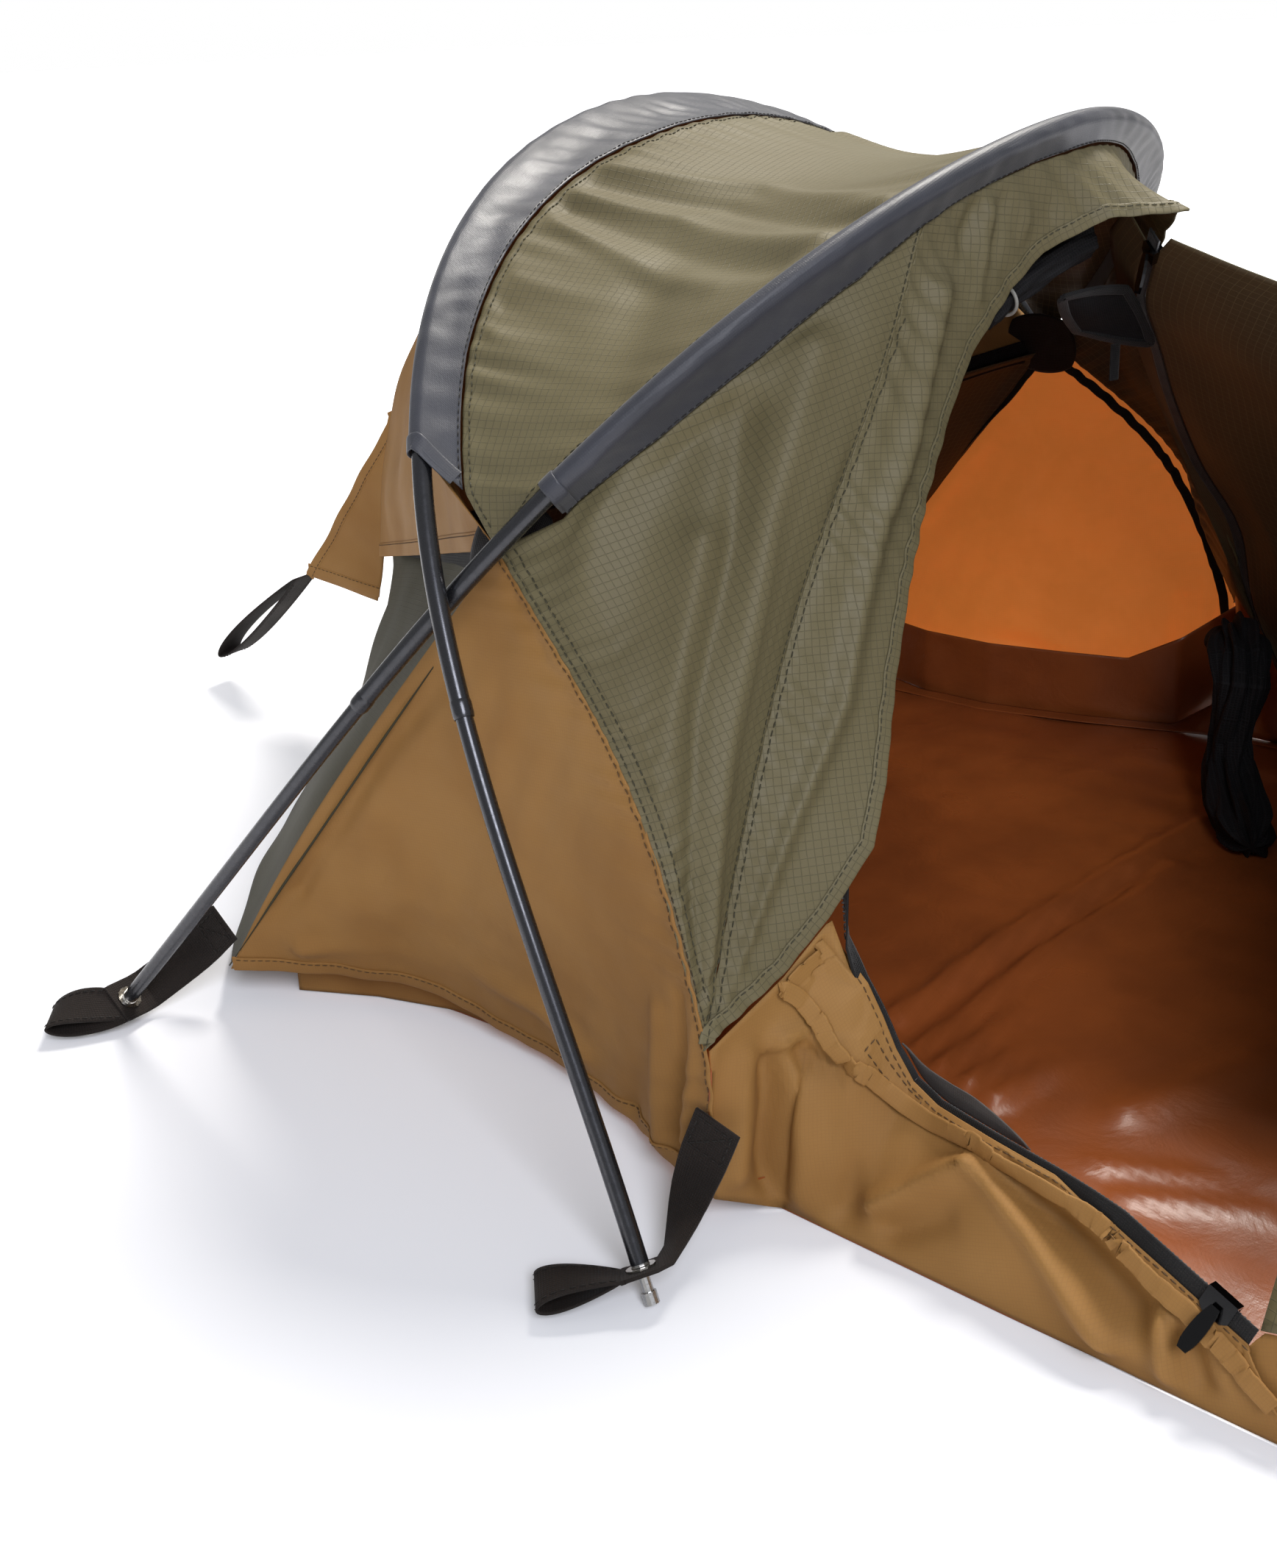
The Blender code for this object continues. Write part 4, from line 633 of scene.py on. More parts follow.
# seams shared by the cloth panels, as shares of span, hoop spacing and rise
inside = np.array([0.0, tent["rearY"] + spacing / 3, rise / 3])
cornerShare = (-0.7714, 0.382, 0.628)
flySeam = placesOf((cornerShare, (-0.8355, 0.130, 0.443), (-0.867, 0.0, 0.206)))
panelFront = placeOf((-0.874, -0.005, 0.040))
panelRear = placeOf((-0.8857, 0.904, 0.052))
panelHem = np.vstack([panelFront, placesOf(((-0.7778, 0.234, 0.020), (-0.7425, 0.442, 0.022),
                                            (-0.7567, 0.649, 0.045))), panelRear])
dartSeam = placesOf(((-0.3402, 0.020, 0.922), (-0.4503, 0.022, 0.785), (-0.6009, 0.045, 0.575),
                     (-0.7408, 0.035, 0.370), (-0.867, 0.0, 0.206)))
openingEdge = placesOf((
    (-0.867, 0.0, 0.206), (-0.758, -0.036, 0.247), (-0.691, -0.060, 0.290), (-0.625, -0.078, 0.342),
    (-0.582, -0.068, 0.393), (-0.518, -0.042, 0.480), (-0.449, -0.021, 0.568), (-0.390, -0.008, 0.638),
    (-0.318, 0.0, 0.717), (-0.261, 0.0, 0.774), (-0.185, -0.016, 0.834), (-0.133, -0.034, 0.869),
    (-0.059, -0.090, 0.902), (0.0, -0.155, 0.905)))
wholeOpening = np.vstack([openingEdge, mirrored(openingEdge[-2::-1])])
cornerSpot = placeOf(cornerShare)
sleeveRadius = tent["poleRadius"] + 0.0009 + 0.0004


def ribbon(name, line, normals, width, thickness, finish, body="tent", replaced=(), closed=False):
    # flat tape: a rounded oblong section carried along a line, its width square to line and normal
    line = np.asarray(line, float)
    normals = np.broadcast_to(normals, line.shape)
    tangents = unit(np.gradient(line, axis=0))
    side = unit(np.cross(tangents, normals))
    up = np.cross(side, tangents)
    a = np.linspace(0, 2 * math.pi, 15)[:-1]
    across = np.sign(np.cos(a)) * np.abs(np.cos(a)) ** 0.35 * width / 2
    height = np.sign(np.sin(a)) * np.abs(np.sin(a)) ** 0.6 * thickness / 2
    grid = line[:, None] + side[:, None] * across[None, :, None] + up[:, None] * height[None, :, None]
    rows, columns = grid.shape[:2]
    faces = gridFaces(rows, columns, closedRows=closed, closedColumns=True)[:, ::-1].tolist()
    if not closed:
        faces += [tuple(range(columns)), tuple(range(rows * columns - 1, (rows - 1) * columns - 1, -1))]
    threads = np.stack(np.broadcast_arrays(arcLength(line)[:, None], across[None, :]), axis=-1).reshape(-1, 2)
    made = newObject(name, grid.reshape(-1, 3), faces, (finish,), threads, 60)
    return settle(made, body, replaced)


# pole sleeves
sleevePlan = {
    "rear": {"start": 52, "slant": 3.2, "shares": (0.0, 0.1, 0.2, 0.3, 0.4, 0.5),
             "widths": (0.018, 0.0195, 0.026, 0.0345, 0.047, 0.052), "sag": 0.0016, "seed": 11},
    "front": {"start": 56, "slant": 0.6, "shares": (0.0, 0.08, 0.16, 0.25, 0.33, 0.42, 0.5),
              "widths": (0.015, 0.0225, 0.026, 0.024, 0.0165, 0.012, 0.011), "sag": 0.0010, "seed": 23},
    "rows": 300}


def sleeveFrames(hoop, towards, start):
    run = slice(start, stations - start + 1)
    spots = hoop[run]
    tangents = unit(np.gradient(hoop, axis=0)[run])
    band = squareTo(towards[run] - spots, tangents)
    out = np.cross(tangents, band)
    out *= np.sign(np.sum(out * (spots - inside), axis=1, keepdims=True))
    return spots, tangents, band, out


def makeSleeve(word, hoop, towards):
    # cloth wrapped round the pole like a drop: from the seam up over the pole and back under it
    plan = sleevePlan[word]
    spots, _, band, out = sleeveFrames(hoop, towards, plan["start"])
    r, last = sleeveRadius, len(spots) - 1
    share = np.linspace(0, 1, sleevePlan["rows"])[:, None]
    mid = 0.5 - np.abs(share - 0.5)
    width = np.interp(mid, plan["shares"], plan["widths"])
    seamAt = np.stack([width, np.full_like(width, -0.9 * r)], axis=-1)
    middle = np.arctan2(seamAt[..., 1], seamAt[..., 0])
    spread = np.arccos(r / np.linalg.norm(seamAt, axis=-1))
    a = np.linspace(0, 1, 30)[None, :]
    angle = middle + spread + a * (2 * math.pi - 2 * spread)
    arc = np.stack([r * np.cos(angle), r * np.sin(angle)], axis=-1)
    t = np.linspace(0, 1, 14)[None, :-1, None]
    over = seamAt * (1 - t) + arc[:, :1] * t
    under = arc[:, -1:] * (1 - (t + 1 / 13)) + (seamAt + np.array([0.0, -0.0004])) * (t + 1 / 13)
    profile = np.concatenate([over, arc, under], axis=1)
    tube = np.clip(1 - profile[..., 0] / width, 0, 1)
    index = plan["slant"] * tube + share * (last - 2 * plan["slant"] * tube)
    centre, bands, outs = atIndex(spots, index), unit(atIndex(band, index)), unit(atIndex(out, index))
    grid = centre + bands * profile[..., :1] + outs * profile[..., 1:]
    push = gridNormals(grid)
    push *= np.sign(np.sum(push * (grid - centre - bands * width[..., None] * 0.3), axis=2, keepdims=True))
    along = arcLength(grid[:, 20])[:, None] + 0 * tube
    loose = 0.5 + 0.5 * softNoise(grid, 0.06, plan["seed"])
    wobble = softNoise(centre[:, 20], 0.12, plan["seed"] + 2)[:, None]
    creases = np.sin(2 * math.pi * (along / 0.019 + 0.6 * wobble) + 9 * tube) ** 3
    top = np.concatenate([np.ones(13 + 8), np.zeros(profile.shape[1] - 21)])[None, :]
    slack = np.clip(width / 0.02 - 0.6, 0, 1) * np.sin(np.clip(tube * 1.25, 0, 1) * math.pi)
    ripple = 0.0011 * creases * loose * slack - plan["sag"] * slack * top
    flare = 0.0012 * np.exp(-np.minimum(along, along[-1] - along) / 0.004)
    grain = 0.0004 * softNoise(grid, 0.022, plan["seed"] + 6) * top
    grid = grid + push * (ripple * top + flare + grain)[..., None]
    clothPiece(f"{word}PoleSleeve", grid, inside, "sleeveOxford", "sleeve_cloth",
               replaced=[f"{word}_pole_sleeve"], held="stretched")
    seam, outward = grid[:, 0], unit(outs[:, 0])
    toward = unit(grid[:, 4] - seam)
    stitches(f"{word}SleeveSeamStitch", seam * 0.72 + grid[:, 2] * 0.28, outward, "blackThread")
    for way, row in (("Near", 1), ("Far", -2)):  # turned hem at each open end
        ribbon(f"{word}Sleeve{way}Hem", grid[row, 2:36], push[row, 2:36], 0.009, 0.0011, "sleeveOxford")
    edge = seam - toward * 0.001 - outward * 0.0012
    return resample(edge, len(edge))


rearBandEdge = makeSleeve("rear", rearHoop, frontHoop)
frontBandEdge = makeSleeve("front", frontHoop, resample(wholeOpening, stations + 1))


def facingEdge(hoop, edge):  # where a panel from that edge meets the sleeve on the near side of it
    spots, tangents, _, _ = sleeveFrames(hoop, hoop[::-1], 56)
    return spots + squareTo(resample(edge, len(spots)) - spots, tangents) * sleeveRadius


frontBack = facingEdge(frontHoop, rearBandEdge)
rearFrames = sleeveFrames(rearHoop, frontHoop, 56)
rearBack = rearFrames[0] - (rearFrames[2] + rearFrames[3]) * math.sqrt(0.5) * (sleeveRadius + 0.0004)
print("sleeves done")

# cloth, slot and inner side of the panels
olive = ("oliveRipstop", "olive_ripstop", "ripstopInside")
tanLined = ("tanTaffeta", "tan_cloth", "rustProofing")

# roof between the hoops
roofPlan = {"sag": 0.06, "columns": 76, "rows": 320, "seed": 5, "folds": (
    (((-161, 656, 459), (-155, 580, 444), (-190, 470, 439)), (5, 10), (3.2, 4.6)),
    (((-187, 645, 447), (-198, 580, 427), (-215, 517, 418)), (5, 9), (3.2, 2.3)),
    (((-130, 652, 466), (-100, 560, 456), (-150, 458, 456)), (5, 12), (3.4, 4)),
    (((-173, 650, 453), (-176, 580, 436), (-205, 490, 430)), (8, 12), (-3.4, -4)),
    (((-146, 654, 463), (-128, 570, 450), (-168, 462, 448)), (7, 10), (-3.4, -3.4)),
    (((-232, 640, 424), (-227, 585, 410)), (5, 7), (2.8, 0.6)),
    (((-250, 630, 410), (-246, 590, 400)), (5, 7), (-2.3, -0.6)),
    (((-266, 620, 396), (-262, 582, 385)), (5, 7), (2.5, 0.6)),
    (((-210, 560, 420), (-285, 530, 370)), (16, 20), (-4.6, -2.3)))}


def makeRoof():
    below = -unit(rearBandEdge[1] - rearBandEdge[0]) * 0.0025
    rearHem = rearBandEdge[0] + below
    frontStart = frontBack[0] - unit(frontBack[1] - frontBack[0]) * 0.0025
    c = cornerSpot
    leads = [c + (end - c) * np.array([[0.15], [0.5], [0.8], [1.0]]) for end in (rearHem, frontStart)]
    first, second = (resample(np.vstack([lead, edge, mirrored(lead)[::-1]]), roofPlan["rows"])
                     for lead, edge in zip(leads, (rearBandEdge, frontBack)))
    grid = ruled(first, second, roofPlan["columns"])
    flat = unrolled(grid)
    u = np.linspace(0, math.pi, roofPlan["rows"])[:, None]
    v = np.linspace(0, math.pi, roofPlan["columns"])[None, :]
    sag = np.sin(u) * np.sin(v) * spacing * roofPlan["sag"]
    grid = grid + unit(inside - grid) * sag[..., None]
    normals = facing(grid, [0, 0, 1])
    held = heldEdges(grid, 0.012)
    folded = drape(drape(grid, normals, roofPlan["folds"]), normals,
                   [(mirrored(line), widths, heights) for line, widths, heights in roofPlan["folds"]])
    stretch = 0.0014 * softNoise(grid * np.array([1.0, 0.45, 0.45]), 0.10, roofPlan["seed"])
    grid = grid + (folded - grid) * held + normals * held * stretch[..., None]
    grid = pucker(grid, normals, 1, False, 0.017, 0.0010, 0.012, 31)
    grid = pucker(grid, normals, 1, True, 0.026, 0.0006, 0.016, 37)
    clothPiece("roofPanel", grid, inside, *olive, replaced=["roof_panel"], held="stretched", flat=flat)
    return grid


roofGrid = makeRoof()

# front fly: the olive triangle between the front pole, the tan seam and the dart seam
flyPlan = {"rows": 150, "columns": 170, "folds": (
    (((-210, 463, 392), (-260, 460, 319), (-298, 453, 244), (-324, 447, 196),
      (-343, 440, 146), (-363, 432, 104)), (12, 3), (7.4, 2)),
    (((-246, 481, 368), (-271, 470, 320), (-314, 463, 247), (-336, 453, 200),
      (-351, 443, 150), (-363, 433, 105)), (11, 3), (-8.1, -2)),
    (((-285, 479, 314), (-322, 472, 249), (-343, 466, 214)), (10, 7), (6.1, 1.4)),
    (((-265, 501, 358), (-308, 504, 295), (-332, 502, 260)), (20, 12), (-7.4, -1.4)),
    (((-300, 530, 335), (-335, 525, 270)), (12, 8), (4.1, 0.7)))}
# the cloth sinks along the dart seam between two crests
dartSink = {"way": unit([-0.85, -0.40, 0.35]), "width": (0.013, 0.003), "height": (-0.0080, 0.0)}
frontTop = int(np.argmin(np.linalg.norm(frontBandEdge[:len(frontBandEdge) // 2] - dartSeam[0], axis=1)))
dartLine = rounded(np.vstack([frontBandEdge[frontTop], dartSeam[1:]]), 150)


def sinkAtDart(points):
    away, t = lineDistance(points, dartLine)
    fade = np.clip(t / 0.12, 0, 1)
    width = dartSink["width"][0] + (dartSink["width"][1] - dartSink["width"][0]) * t
    height = dartSink["height"][0] + (dartSink["height"][1] - dartSink["height"][0]) * t
    return points + dartSink["way"] * (height * fade * np.exp(-(away / width) ** 2))[..., None]


def makeFly():
    start = frontBandEdge[0] - unit(frontBandEdge[1] - frontBandEdge[0]) * 0.0032
    edge = resample(np.vstack([[cornerSpot], [start], frontBandEdge[0:frontTop + 1]]), flyPlan["rows"])
    seam = rounded(flySeam, 80)
    grid = threeSided(edge, seam[-1], seam, dartLine, flyPlan["columns"], 0.0, 0.003)
    flat = unrolled(grid)
    grid, normals = loosened(grid, [-1, 0, 0.3], 0.014, (0.0016, 0.06, 44), flyPlan["folds"], columns=(True, False))
    grid = pucker(grid, normals, 0, False, 0.013, 0.0011, 0.012, 46)
    grid = sinkAtDart(grid)
    for side, flip in flips.items():
        clothPiece(f"{side}FrontFly", flip(grid), inside, *olive, replaced=[f"{side}_front_fly"],
                   held="stretched", flat=flat)
    return grid


flyGrid = makeFly()

# front hood between the front pole and the opening's edge
hoodPlan = {"rows": 520, "columns": 70,
            "brim": {"from": 0.35, "middle": 0.050, "half": 0.055, "way": (0.004, -0.024, -0.001)}, "folds": (
    (((-134, 438, 411), (-178, 433, 337), (-203, 432, 308), (-248, 426, 231),
      (-287, 429, 186), (-325, 430, 141), (-362, 430, 104)), (10, 3), (8.8, 2)),
    (((-102, 434, 456), (-115, 434, 423)), (6, 4), (-6.1, -1.4)),
    (((-92, 434, 452), (-104, 430, 405)), (5, 4), (4.7, 1.4)),
    (((-80, 432, 455), (-92, 429, 420)), (5, 4), (-5.4, -1.4)),
    (((-60, 430, 460), (-70, 420, 430)), (5, 4), (4.1, 1.4)),
    (((-45, 430, 462), (-52, 412, 440)), (5, 4), (-4.7, -1.4)))}


def makeHood():
    outer = np.vstack([dartLine[::-1], frontBandEdge[frontTop + 1:-frontTop - 1], mirrored(dartLine)])
    first, second = resample(outer, hoodPlan["rows"]), resample(wholeOpening, hoodPlan["rows"])
    first[0], first[-1] = first[1] * 0.5 + second[1] * 0.5, first[-2] * 0.5 + second[-2] * 0.5
    grid = ruled(first, second, hoodPlan["columns"])
    flat = unrolled(grid)
    grid, normals = loosened(grid, [0, -0.5, 1], 0.016, (0.0014, 0.09, 51), hoodPlan["folds"])
    grid = pucker(grid, normals, 1, False, 0.017, 0.0013, 0.016, 53)
    grid = pucker(grid, normals, 1, True, 0.020, 0.0007, 0.010, 55)
    brim = hoodPlan["brim"]
    v = np.linspace(0.0, 1.0, hoodPlan["columns"])[None, :]
    reach = np.clip((v - brim["from"]) / (1 - brim["from"]), 0, 1) ** 2
    reach = reach * np.exp(-((grid[..., 0] - brim["middle"]) / brim["half"]) ** 2)
    grid = grid + reach[..., None] * np.array(brim["way"])
    near = grid[..., :1] < 0
    grid = np.where(near, sinkAtDart(grid), mirrored(sinkAtDart(mirrored(grid))))
    clothPiece("frontHood", grid, inside, *olive, replaced=["front_hood"], held="hung", flat=flat)
    return grid


hoodGrid = makeHood()

# tan side panels under the crossing
sidePlan = {"rows": 170, "columns": 130, "bow": 0.010, "folds": (
    (((-350, 725, 85), (-343, 697, 128), (-335, 652, 190), (-330, 610, 234)), (6, 10), (-4.4, -5)),
    (((-357, 450, 115), (-357, 450, 88), (-355, 458, 34)), (3.5, 6), (-4.4, -7.5)),
    (((-351, 467, 100), (-348, 471, 24)), (6, 8), (3.7, 5.6)),
    (((-362, 437, 107), (-359, 447, 40)), (4, 5), (2.5, 3.7)),
    (((-344, 732, 45), (-330, 665, 46), (-318, 580, 50), (-322, 540, 34)), (7, 9), (6.3, 5)),
    (((-353, 739, 72), (-339, 678, 114), (-331, 602, 159)), (10, 24), (-4.4, -5)),
    (((-346, 700, 75), (-332, 620, 95), (-330, 540, 130)), (10, 22), (3.1, 2.5)),
    (((-330, 560, 285), (-333, 520, 240)), (6, 10), (-2.5, -1)),
    (((-334, 500, 20), (-338, 480, 60)), (7, 10), (-4.4, -1.3)))}


def makeSidePanels():
    frontEdge = rounded(np.vstack([flySeam, panelFront]), sidePlan["rows"] + 1)[1:]
    rearEdge = resample(np.array([cornerSpot, panelRear]), sidePlan["rows"] + 1)[1:]
    rearEdge[:, 1] += sidePlan["bow"] * np.sin(np.linspace(0, math.pi, len(rearEdge)) ** 1.3 / math.pi ** 0.3)
    grid = ruled(frontEdge, rearEdge, sidePlan["columns"])
    hem = rounded(panelHem, sidePlan["columns"])
    level = np.linspace(0.0, 1.0, sidePlan["rows"])[:, None, None] ** 2
    grid = grid + (hem - grid[-1])[None] * level
    normals = facing(grid, [-1, 0, 0])
    flat = unrolled(grid)
    held = heldEdges(grid, 0.014, rows=(True, False))
    grid = grid + (drape(grid, normals, sidePlan["folds"]) - grid) * held
    wave = 0.0012 * softNoise(grid, 0.10, 61) + 0.0007 * softNoise(grid, 0.035, 62)
    grid = grid + normals * held * wave[..., None]
    grid = pucker(grid, normals, 1, False, 0.016, 0.0009, 0.012, 63)
    for side, flip in flips.items():
        # their inner face takes the taffeta with the painted orange glow
        clothPiece(f"{side}SidePanel", flip(grid), inside, "tanTaffeta", "tan_cloth", "paintedGlowTaffeta",
                   replaced=[f"{side}_side_panel"], held="stretched", flat=flat)
    return grid


sideGrid = makeSidePanels()

# head end: tan vent hood, olive head panel and guy fin
headPlan = {"rows": 220, "bulge": 0.17, "belly": 0.030, "hoodColumns": 60, "panelColumns": 60, "finRows": 50,
            "finColumns": 24, "finNotch": 0.0125}
hoodBack, headFoot = placeOf((0.0, 1.475, 0.309)), placeOf((0.0, 1.545, 0.0))
finCorner, finTop, finHem = placesOf(((0, 1.719, 0.247), (0, 1.348, 0.544), (0, 1.5, 0.228)))


def makeHeadEnd():
    count, finCount = headPlan["rows"], headPlan["finRows"]
    corner, back = cornerSpot, hoodBack
    across = np.linspace(-1.0, 1.0, count)
    near = 1.0 - np.abs(across)
    hem = np.stack([-corner[0] * across, corner[1] + (back[1] - corner[1]) * near,
                    corner[2] + (back[2] - corner[2]) * near], axis=1)
    top = resample(rearBack, count)
    swell = np.linalg.norm(hem - top, axis=1)[:, None] * headPlan["bulge"] * (near ** 1.5)[:, None]
    control = 0.5 * (top + hem) + unit([0.0, 1.0, 0.55]) * 2 * swell
    v = np.linspace(0.0, 1.0, headPlan["hoodColumns"])[None, :, None]
    hood = (1 - v) ** 2 * top[:, None] + 2 * v * (1 - v) * control[:, None] + v ** 2 * hem[:, None]
    hood, normals = loosened(hood, [0, 1, 0.5], 0.016, (0.0030, 0.10, 71), columns=(True, False))
    hood = pucker(hood, normals, 1, False, 0.020, 0.0012, 0.016, 73)
    clothPiece("ventHood", hood, inside, "tanTaffeta", "tan_cloth", "tanTaffeta",
               replaced=["vent_hood"], held="hung")
    ground = np.stack([-panelRear[0] * across, panelRear[1] + (headFoot[1] - panelRear[1]) * near,
                       0.0026 + (panelRear[2] - 0.001) * np.abs(across) ** 6], axis=1)
    ease = np.sqrt(near)[:, None]
    tuck = np.stack([-0.04 * hem[:, 0], np.full(count, -0.012), np.full(count, 0.006)], axis=1)
    inner = hem + tuck * ease + np.array([0.0, 0.0015, -0.012]) * (1 - ease)
    ground[:, 1] += 0.0015 * (1 - near)
    panel = ruled(inner, ground, headPlan["panelColumns"])
    panelNormals = facing(panel, [0, 1, 0])
    level = np.linspace(0.0, 1.0, headPlan["panelColumns"])[None, :, None]
    out = unit(panelNormals * np.array([1.0, 1.0, 0.0]))
    panel = panel + out * headPlan["belly"] * np.sin(near * math.pi)[:, None, None] ** 0.8 * level ** 1.3
    held = heldEdges(panel, 0.014, columns=(True, False))
    panel = panel + panelNormals * held * (0.0030 * softNoise(panel, 0.11, 75))[..., None]
    # the head panel's ripstop carries painted shade, darker than the same cloth elsewhere
    clothPiece("headPanel", panel, inside, "shadedRipstop", "olive_ripstop", "ripstopInside",
               replaced=["head_panel"], held="stretched")
    line = resample(hood[count // 2], 120)
    start = int(np.argmin(np.linalg.norm(line - finTop, axis=1)))
    finInner = resample(np.vstack([line[start:], [finHem]]), finCount)
    finOuter = finInner[0] + (finCorner - finInner[0]) * np.linspace(0, 1, finCount)[:, None]
    finOuter[0] += unit(finCorner - finInner[0]) * headPlan["finNotch"] + np.array([0.0, 0.5, 0.8]) * 0.0008
    fin = ruled(finInner, resample(finOuter, finCount), headPlan["finColumns"])
    fin = fin + np.array([1.0, 0, 0]) * (0.0014 * softNoise(fin, 0.05, 77))[..., None]
    clothPiece("guyFin", fin, np.array([-1.0, 1.0, 0.2]), "tanTaffeta", "tan_cloth", replaced=["guy_fin"],
               held="stretched")
    return hood, normals, panel, panelNormals, fin


ventGrid, ventNormals, headGrid, headNormals, finGrid = makeHeadEnd()
print("canopy done")

# zip runs
zipArch = placesOf((
    (-0.010, -0.140, 0.870), (-0.070, -0.100, 0.835), (-0.150, -0.070, 0.775), (-0.237, -0.060, 0.715),
    (-0.356, -0.045, 0.625), (-0.475, -0.055, 0.515), (-0.560, -0.100, 0.410), (-0.672, -0.095, 0.275)))
zipArchWays = ((-0.10, 0.60, 0.80), (-0.20, 0.60, 0.75), (-0.30, 0.75, 0.60), (-0.30, 0.85, 0.40),
               (-0.30, 0.90, 0.30), (-0.30, 0.95, 0.10), (-0.40, 0.90, 0.00), (-0.80, 0.50, -0.30))
zipSide = placesOf((
    (-0.684, -0.130, 0.205), (-0.692, -0.190, 0.138), (-0.727, -0.294, 0.138),
    (-0.748, -0.420, 0.132), (-0.770, -0.535, 0.118), (-0.788, -0.610, 0.098), (-0.795, -0.640, 0.086)))
zipSideWays = ((-0.70, 0.10, -0.70), (-0.50, 0.00, -0.86), (-0.35, 0.00, -0.93),
               (-0.35, 0.00, -0.93), (-0.35, 0.00, -0.93), (-0.35, 0.00, -0.93), (-0.35, 0.00, -0.93))
zipPlan = {"width": 0.009, "wall": 0.0010, "points": 41, "straight": 5, "fine": 6, "hemStart": 0.022,
           "archWay": (0.10, 0.95, -0.10), "blend": 3, "facingReach": (0.285, 0.372),
           "facingWay": (0.62, 0.0, 0.78), "facingRoll": 0.0078, "facingFoot": (0.0042, 0.0, -0.0035)}


def zipRun():
    # the run in the CAD's own steps first, straight where a slider sits, then six times finer
    keys = np.vstack([zipArch, zipSide])
    line = rounded(keys, zipPlan["points"])
    ways = np.vstack([zipArchWays, zipSideWays])
    along = arcLength(keys)
    s = np.linspace(0.0, along[-1], len(line))
    way = squareTo(unit(readAt(s, along, ways)), unit(np.gradient(line, axis=0)))
    count = zipPlan["straight"]
    for run in (slice(0, count), slice(-count, None)):
        line[run] = resample(line[run][[0, -1]], count)
        chord = unit(line[run][-1] - line[run][0])
        mean = way[run].mean(axis=0)
        way[run] = unit(mean - np.dot(mean, chord) * chord)
    return line, way


def finer(line):
    return atIndex(line, np.linspace(0, len(line) - 1, (len(line) - 1) * zipPlan["fine"] + 1))


zipLine, zipWay = zipRun()
zipTurn = int(np.argmin(np.linalg.norm(zipLine - zipSide[0], axis=1)))

# cover: ridge, side edge and ground line run on to the foot
coverPlan = {"ridgeStart": (0.0, -0.160, 0.874), "ridgeFoot": 0.34, "ridgeSag": 0.62, "sideFoot": 0.17,
             "doorEnd": -0.64, "rows": 90, "columns": 110, "squash": np.array([1, 0.6, 1])}
ridgeStart = placeOf(coverPlan["ridgeStart"])
doorY = tent["rearY"] + coverPlan["doorEnd"] * spacing


def ridgeHeight(y):  # the ridge falls off as a decaying curve from the hood to the foot
    footZ = coverPlan["ridgeFoot"] * rise
    reach = coverPlan["ridgeSag"] * tent["halfLength"]
    fall = np.exp(-(ridgeStart[1] - y) / reach)
    last = math.exp(-(ridgeStart[1] - footY) / reach)
    return footZ + (ridgeStart[2] - footZ) * (fall - last) / (1 - last)


def sideEdge(y):  # the cover's near edge: the zip's side run, then on to the foot
    foot = np.array([-tent["footHalfWidth"], footY, coverPlan["sideFoot"] * rise])
    last = zipSide[-1]
    middle = np.array([-0.54 * (abs(last[0]) + tent["footHalfWidth"]), 0.5 * (last[1] + footY), foot[2]])
    after = last + np.array([0.0, -spacing / 3, rise * 0.06])
    line = np.vstack([zipSide, [after], [middle], [foot]])[::-1]
    y = np.asarray(y, float)
    return np.stack([np.interp(y, line[:, 1], line[:, 0]), y, np.interp(y, line[:, 1], line[:, 2])], axis=-1)


waist = np.array([(placeOf((x, y, 0))[0], placeOf((x, y, 0))[1]) for x, y in
                  ((-0.795, 0.0), (-0.7406, 0.234), (-0.705, 0.442), (-0.7149, 0.649), (-0.8289, 0.900))])


def groundLine(y):  # the near edge of the floor
    line = np.vstack([[(-tent["footHalfWidth"], footY), (-0.825 * tent["span"], tent["rearY"] - 0.70 * spacing)],
                      waist])
    return np.interp(y, line[:, 1], line[:, 0])


def coverRow(y, v):
    edge = sideEdge(y)
    ridge = np.array([0.0, y, float(ridgeHeight(y))])
    return ridge[None] * (1 - v)[:, None] + edge[None] * v[:, None]


def doorGrid(columns, v):
    # the zipped half: lines from the arch and the zip back to the door's end
    front = resample(np.vstack([[ridgeStart], zipLine[1:zipTurn + 1]]), 41)
    back = coverRow(doorY, np.linspace(0.0, 1.0, 41))
    side = resample(zipLine[zipTurn:], columns)
    pick, pickBack = (readAt(v, np.linspace(0.0, 1.0, 41), line) for line in (front, back))
    u = np.linspace(0.0, 1.0, columns)[None, :, None]
    grid = pick[:, None] * (1 - u) + pickBack[:, None] * u
    straight = front[-1] * (1 - u[0]) + back[-1] * u[0]
    ys = np.interp(u[0, :, 0], [0, 1], [ridgeStart[1], doorY])
    sag = ridgeHeight(ys) - np.interp(u[0, :, 0], [0, 1], [ridgeStart[2], back[0][2]])
    grid = grid + (side - straight)[None] * (v ** 3)[:, None, None]
    grid[..., 2] += sag[None] * ((1 - v) ** 3)[:, None]
    return grid


def makeCover():
    v = np.linspace(0.0, 1.0, coverPlan["rows"])
    ys = np.linspace(doorY, footY, 150)
    rear = np.array([coverRow(y, v) for y in ys])
    door = doorGrid(coverPlan["columns"], v)
    far = mirrored(np.concatenate([door, rear[1:].transpose(1, 0, 2)], axis=1))
    far, _ = loosened(far, [0.3, 0, 1], 0.020, (0.0040, 0.13, 81), rows=(False, True), squash=coverPlan["squash"])
    clothPiece("farCover", far, np.array([0.0, 0.0, 0.02]), *olive, replaced=["far_cover"], held="hung")
    near = rear.copy()
    near[0, :, 1] -= 0.0005
    near, _ = loosened(near, [-0.3, 0, 1], 0.020, (0.0040, 0.13, 83), columns=(False, True),
                       squash=coverPlan["squash"])
    clothPiece("nearCover", near, np.array([0.0, -0.4, 0.02]), *olive, replaced=["near_cover"], held="hung")
    return far


farGrid = makeCover()

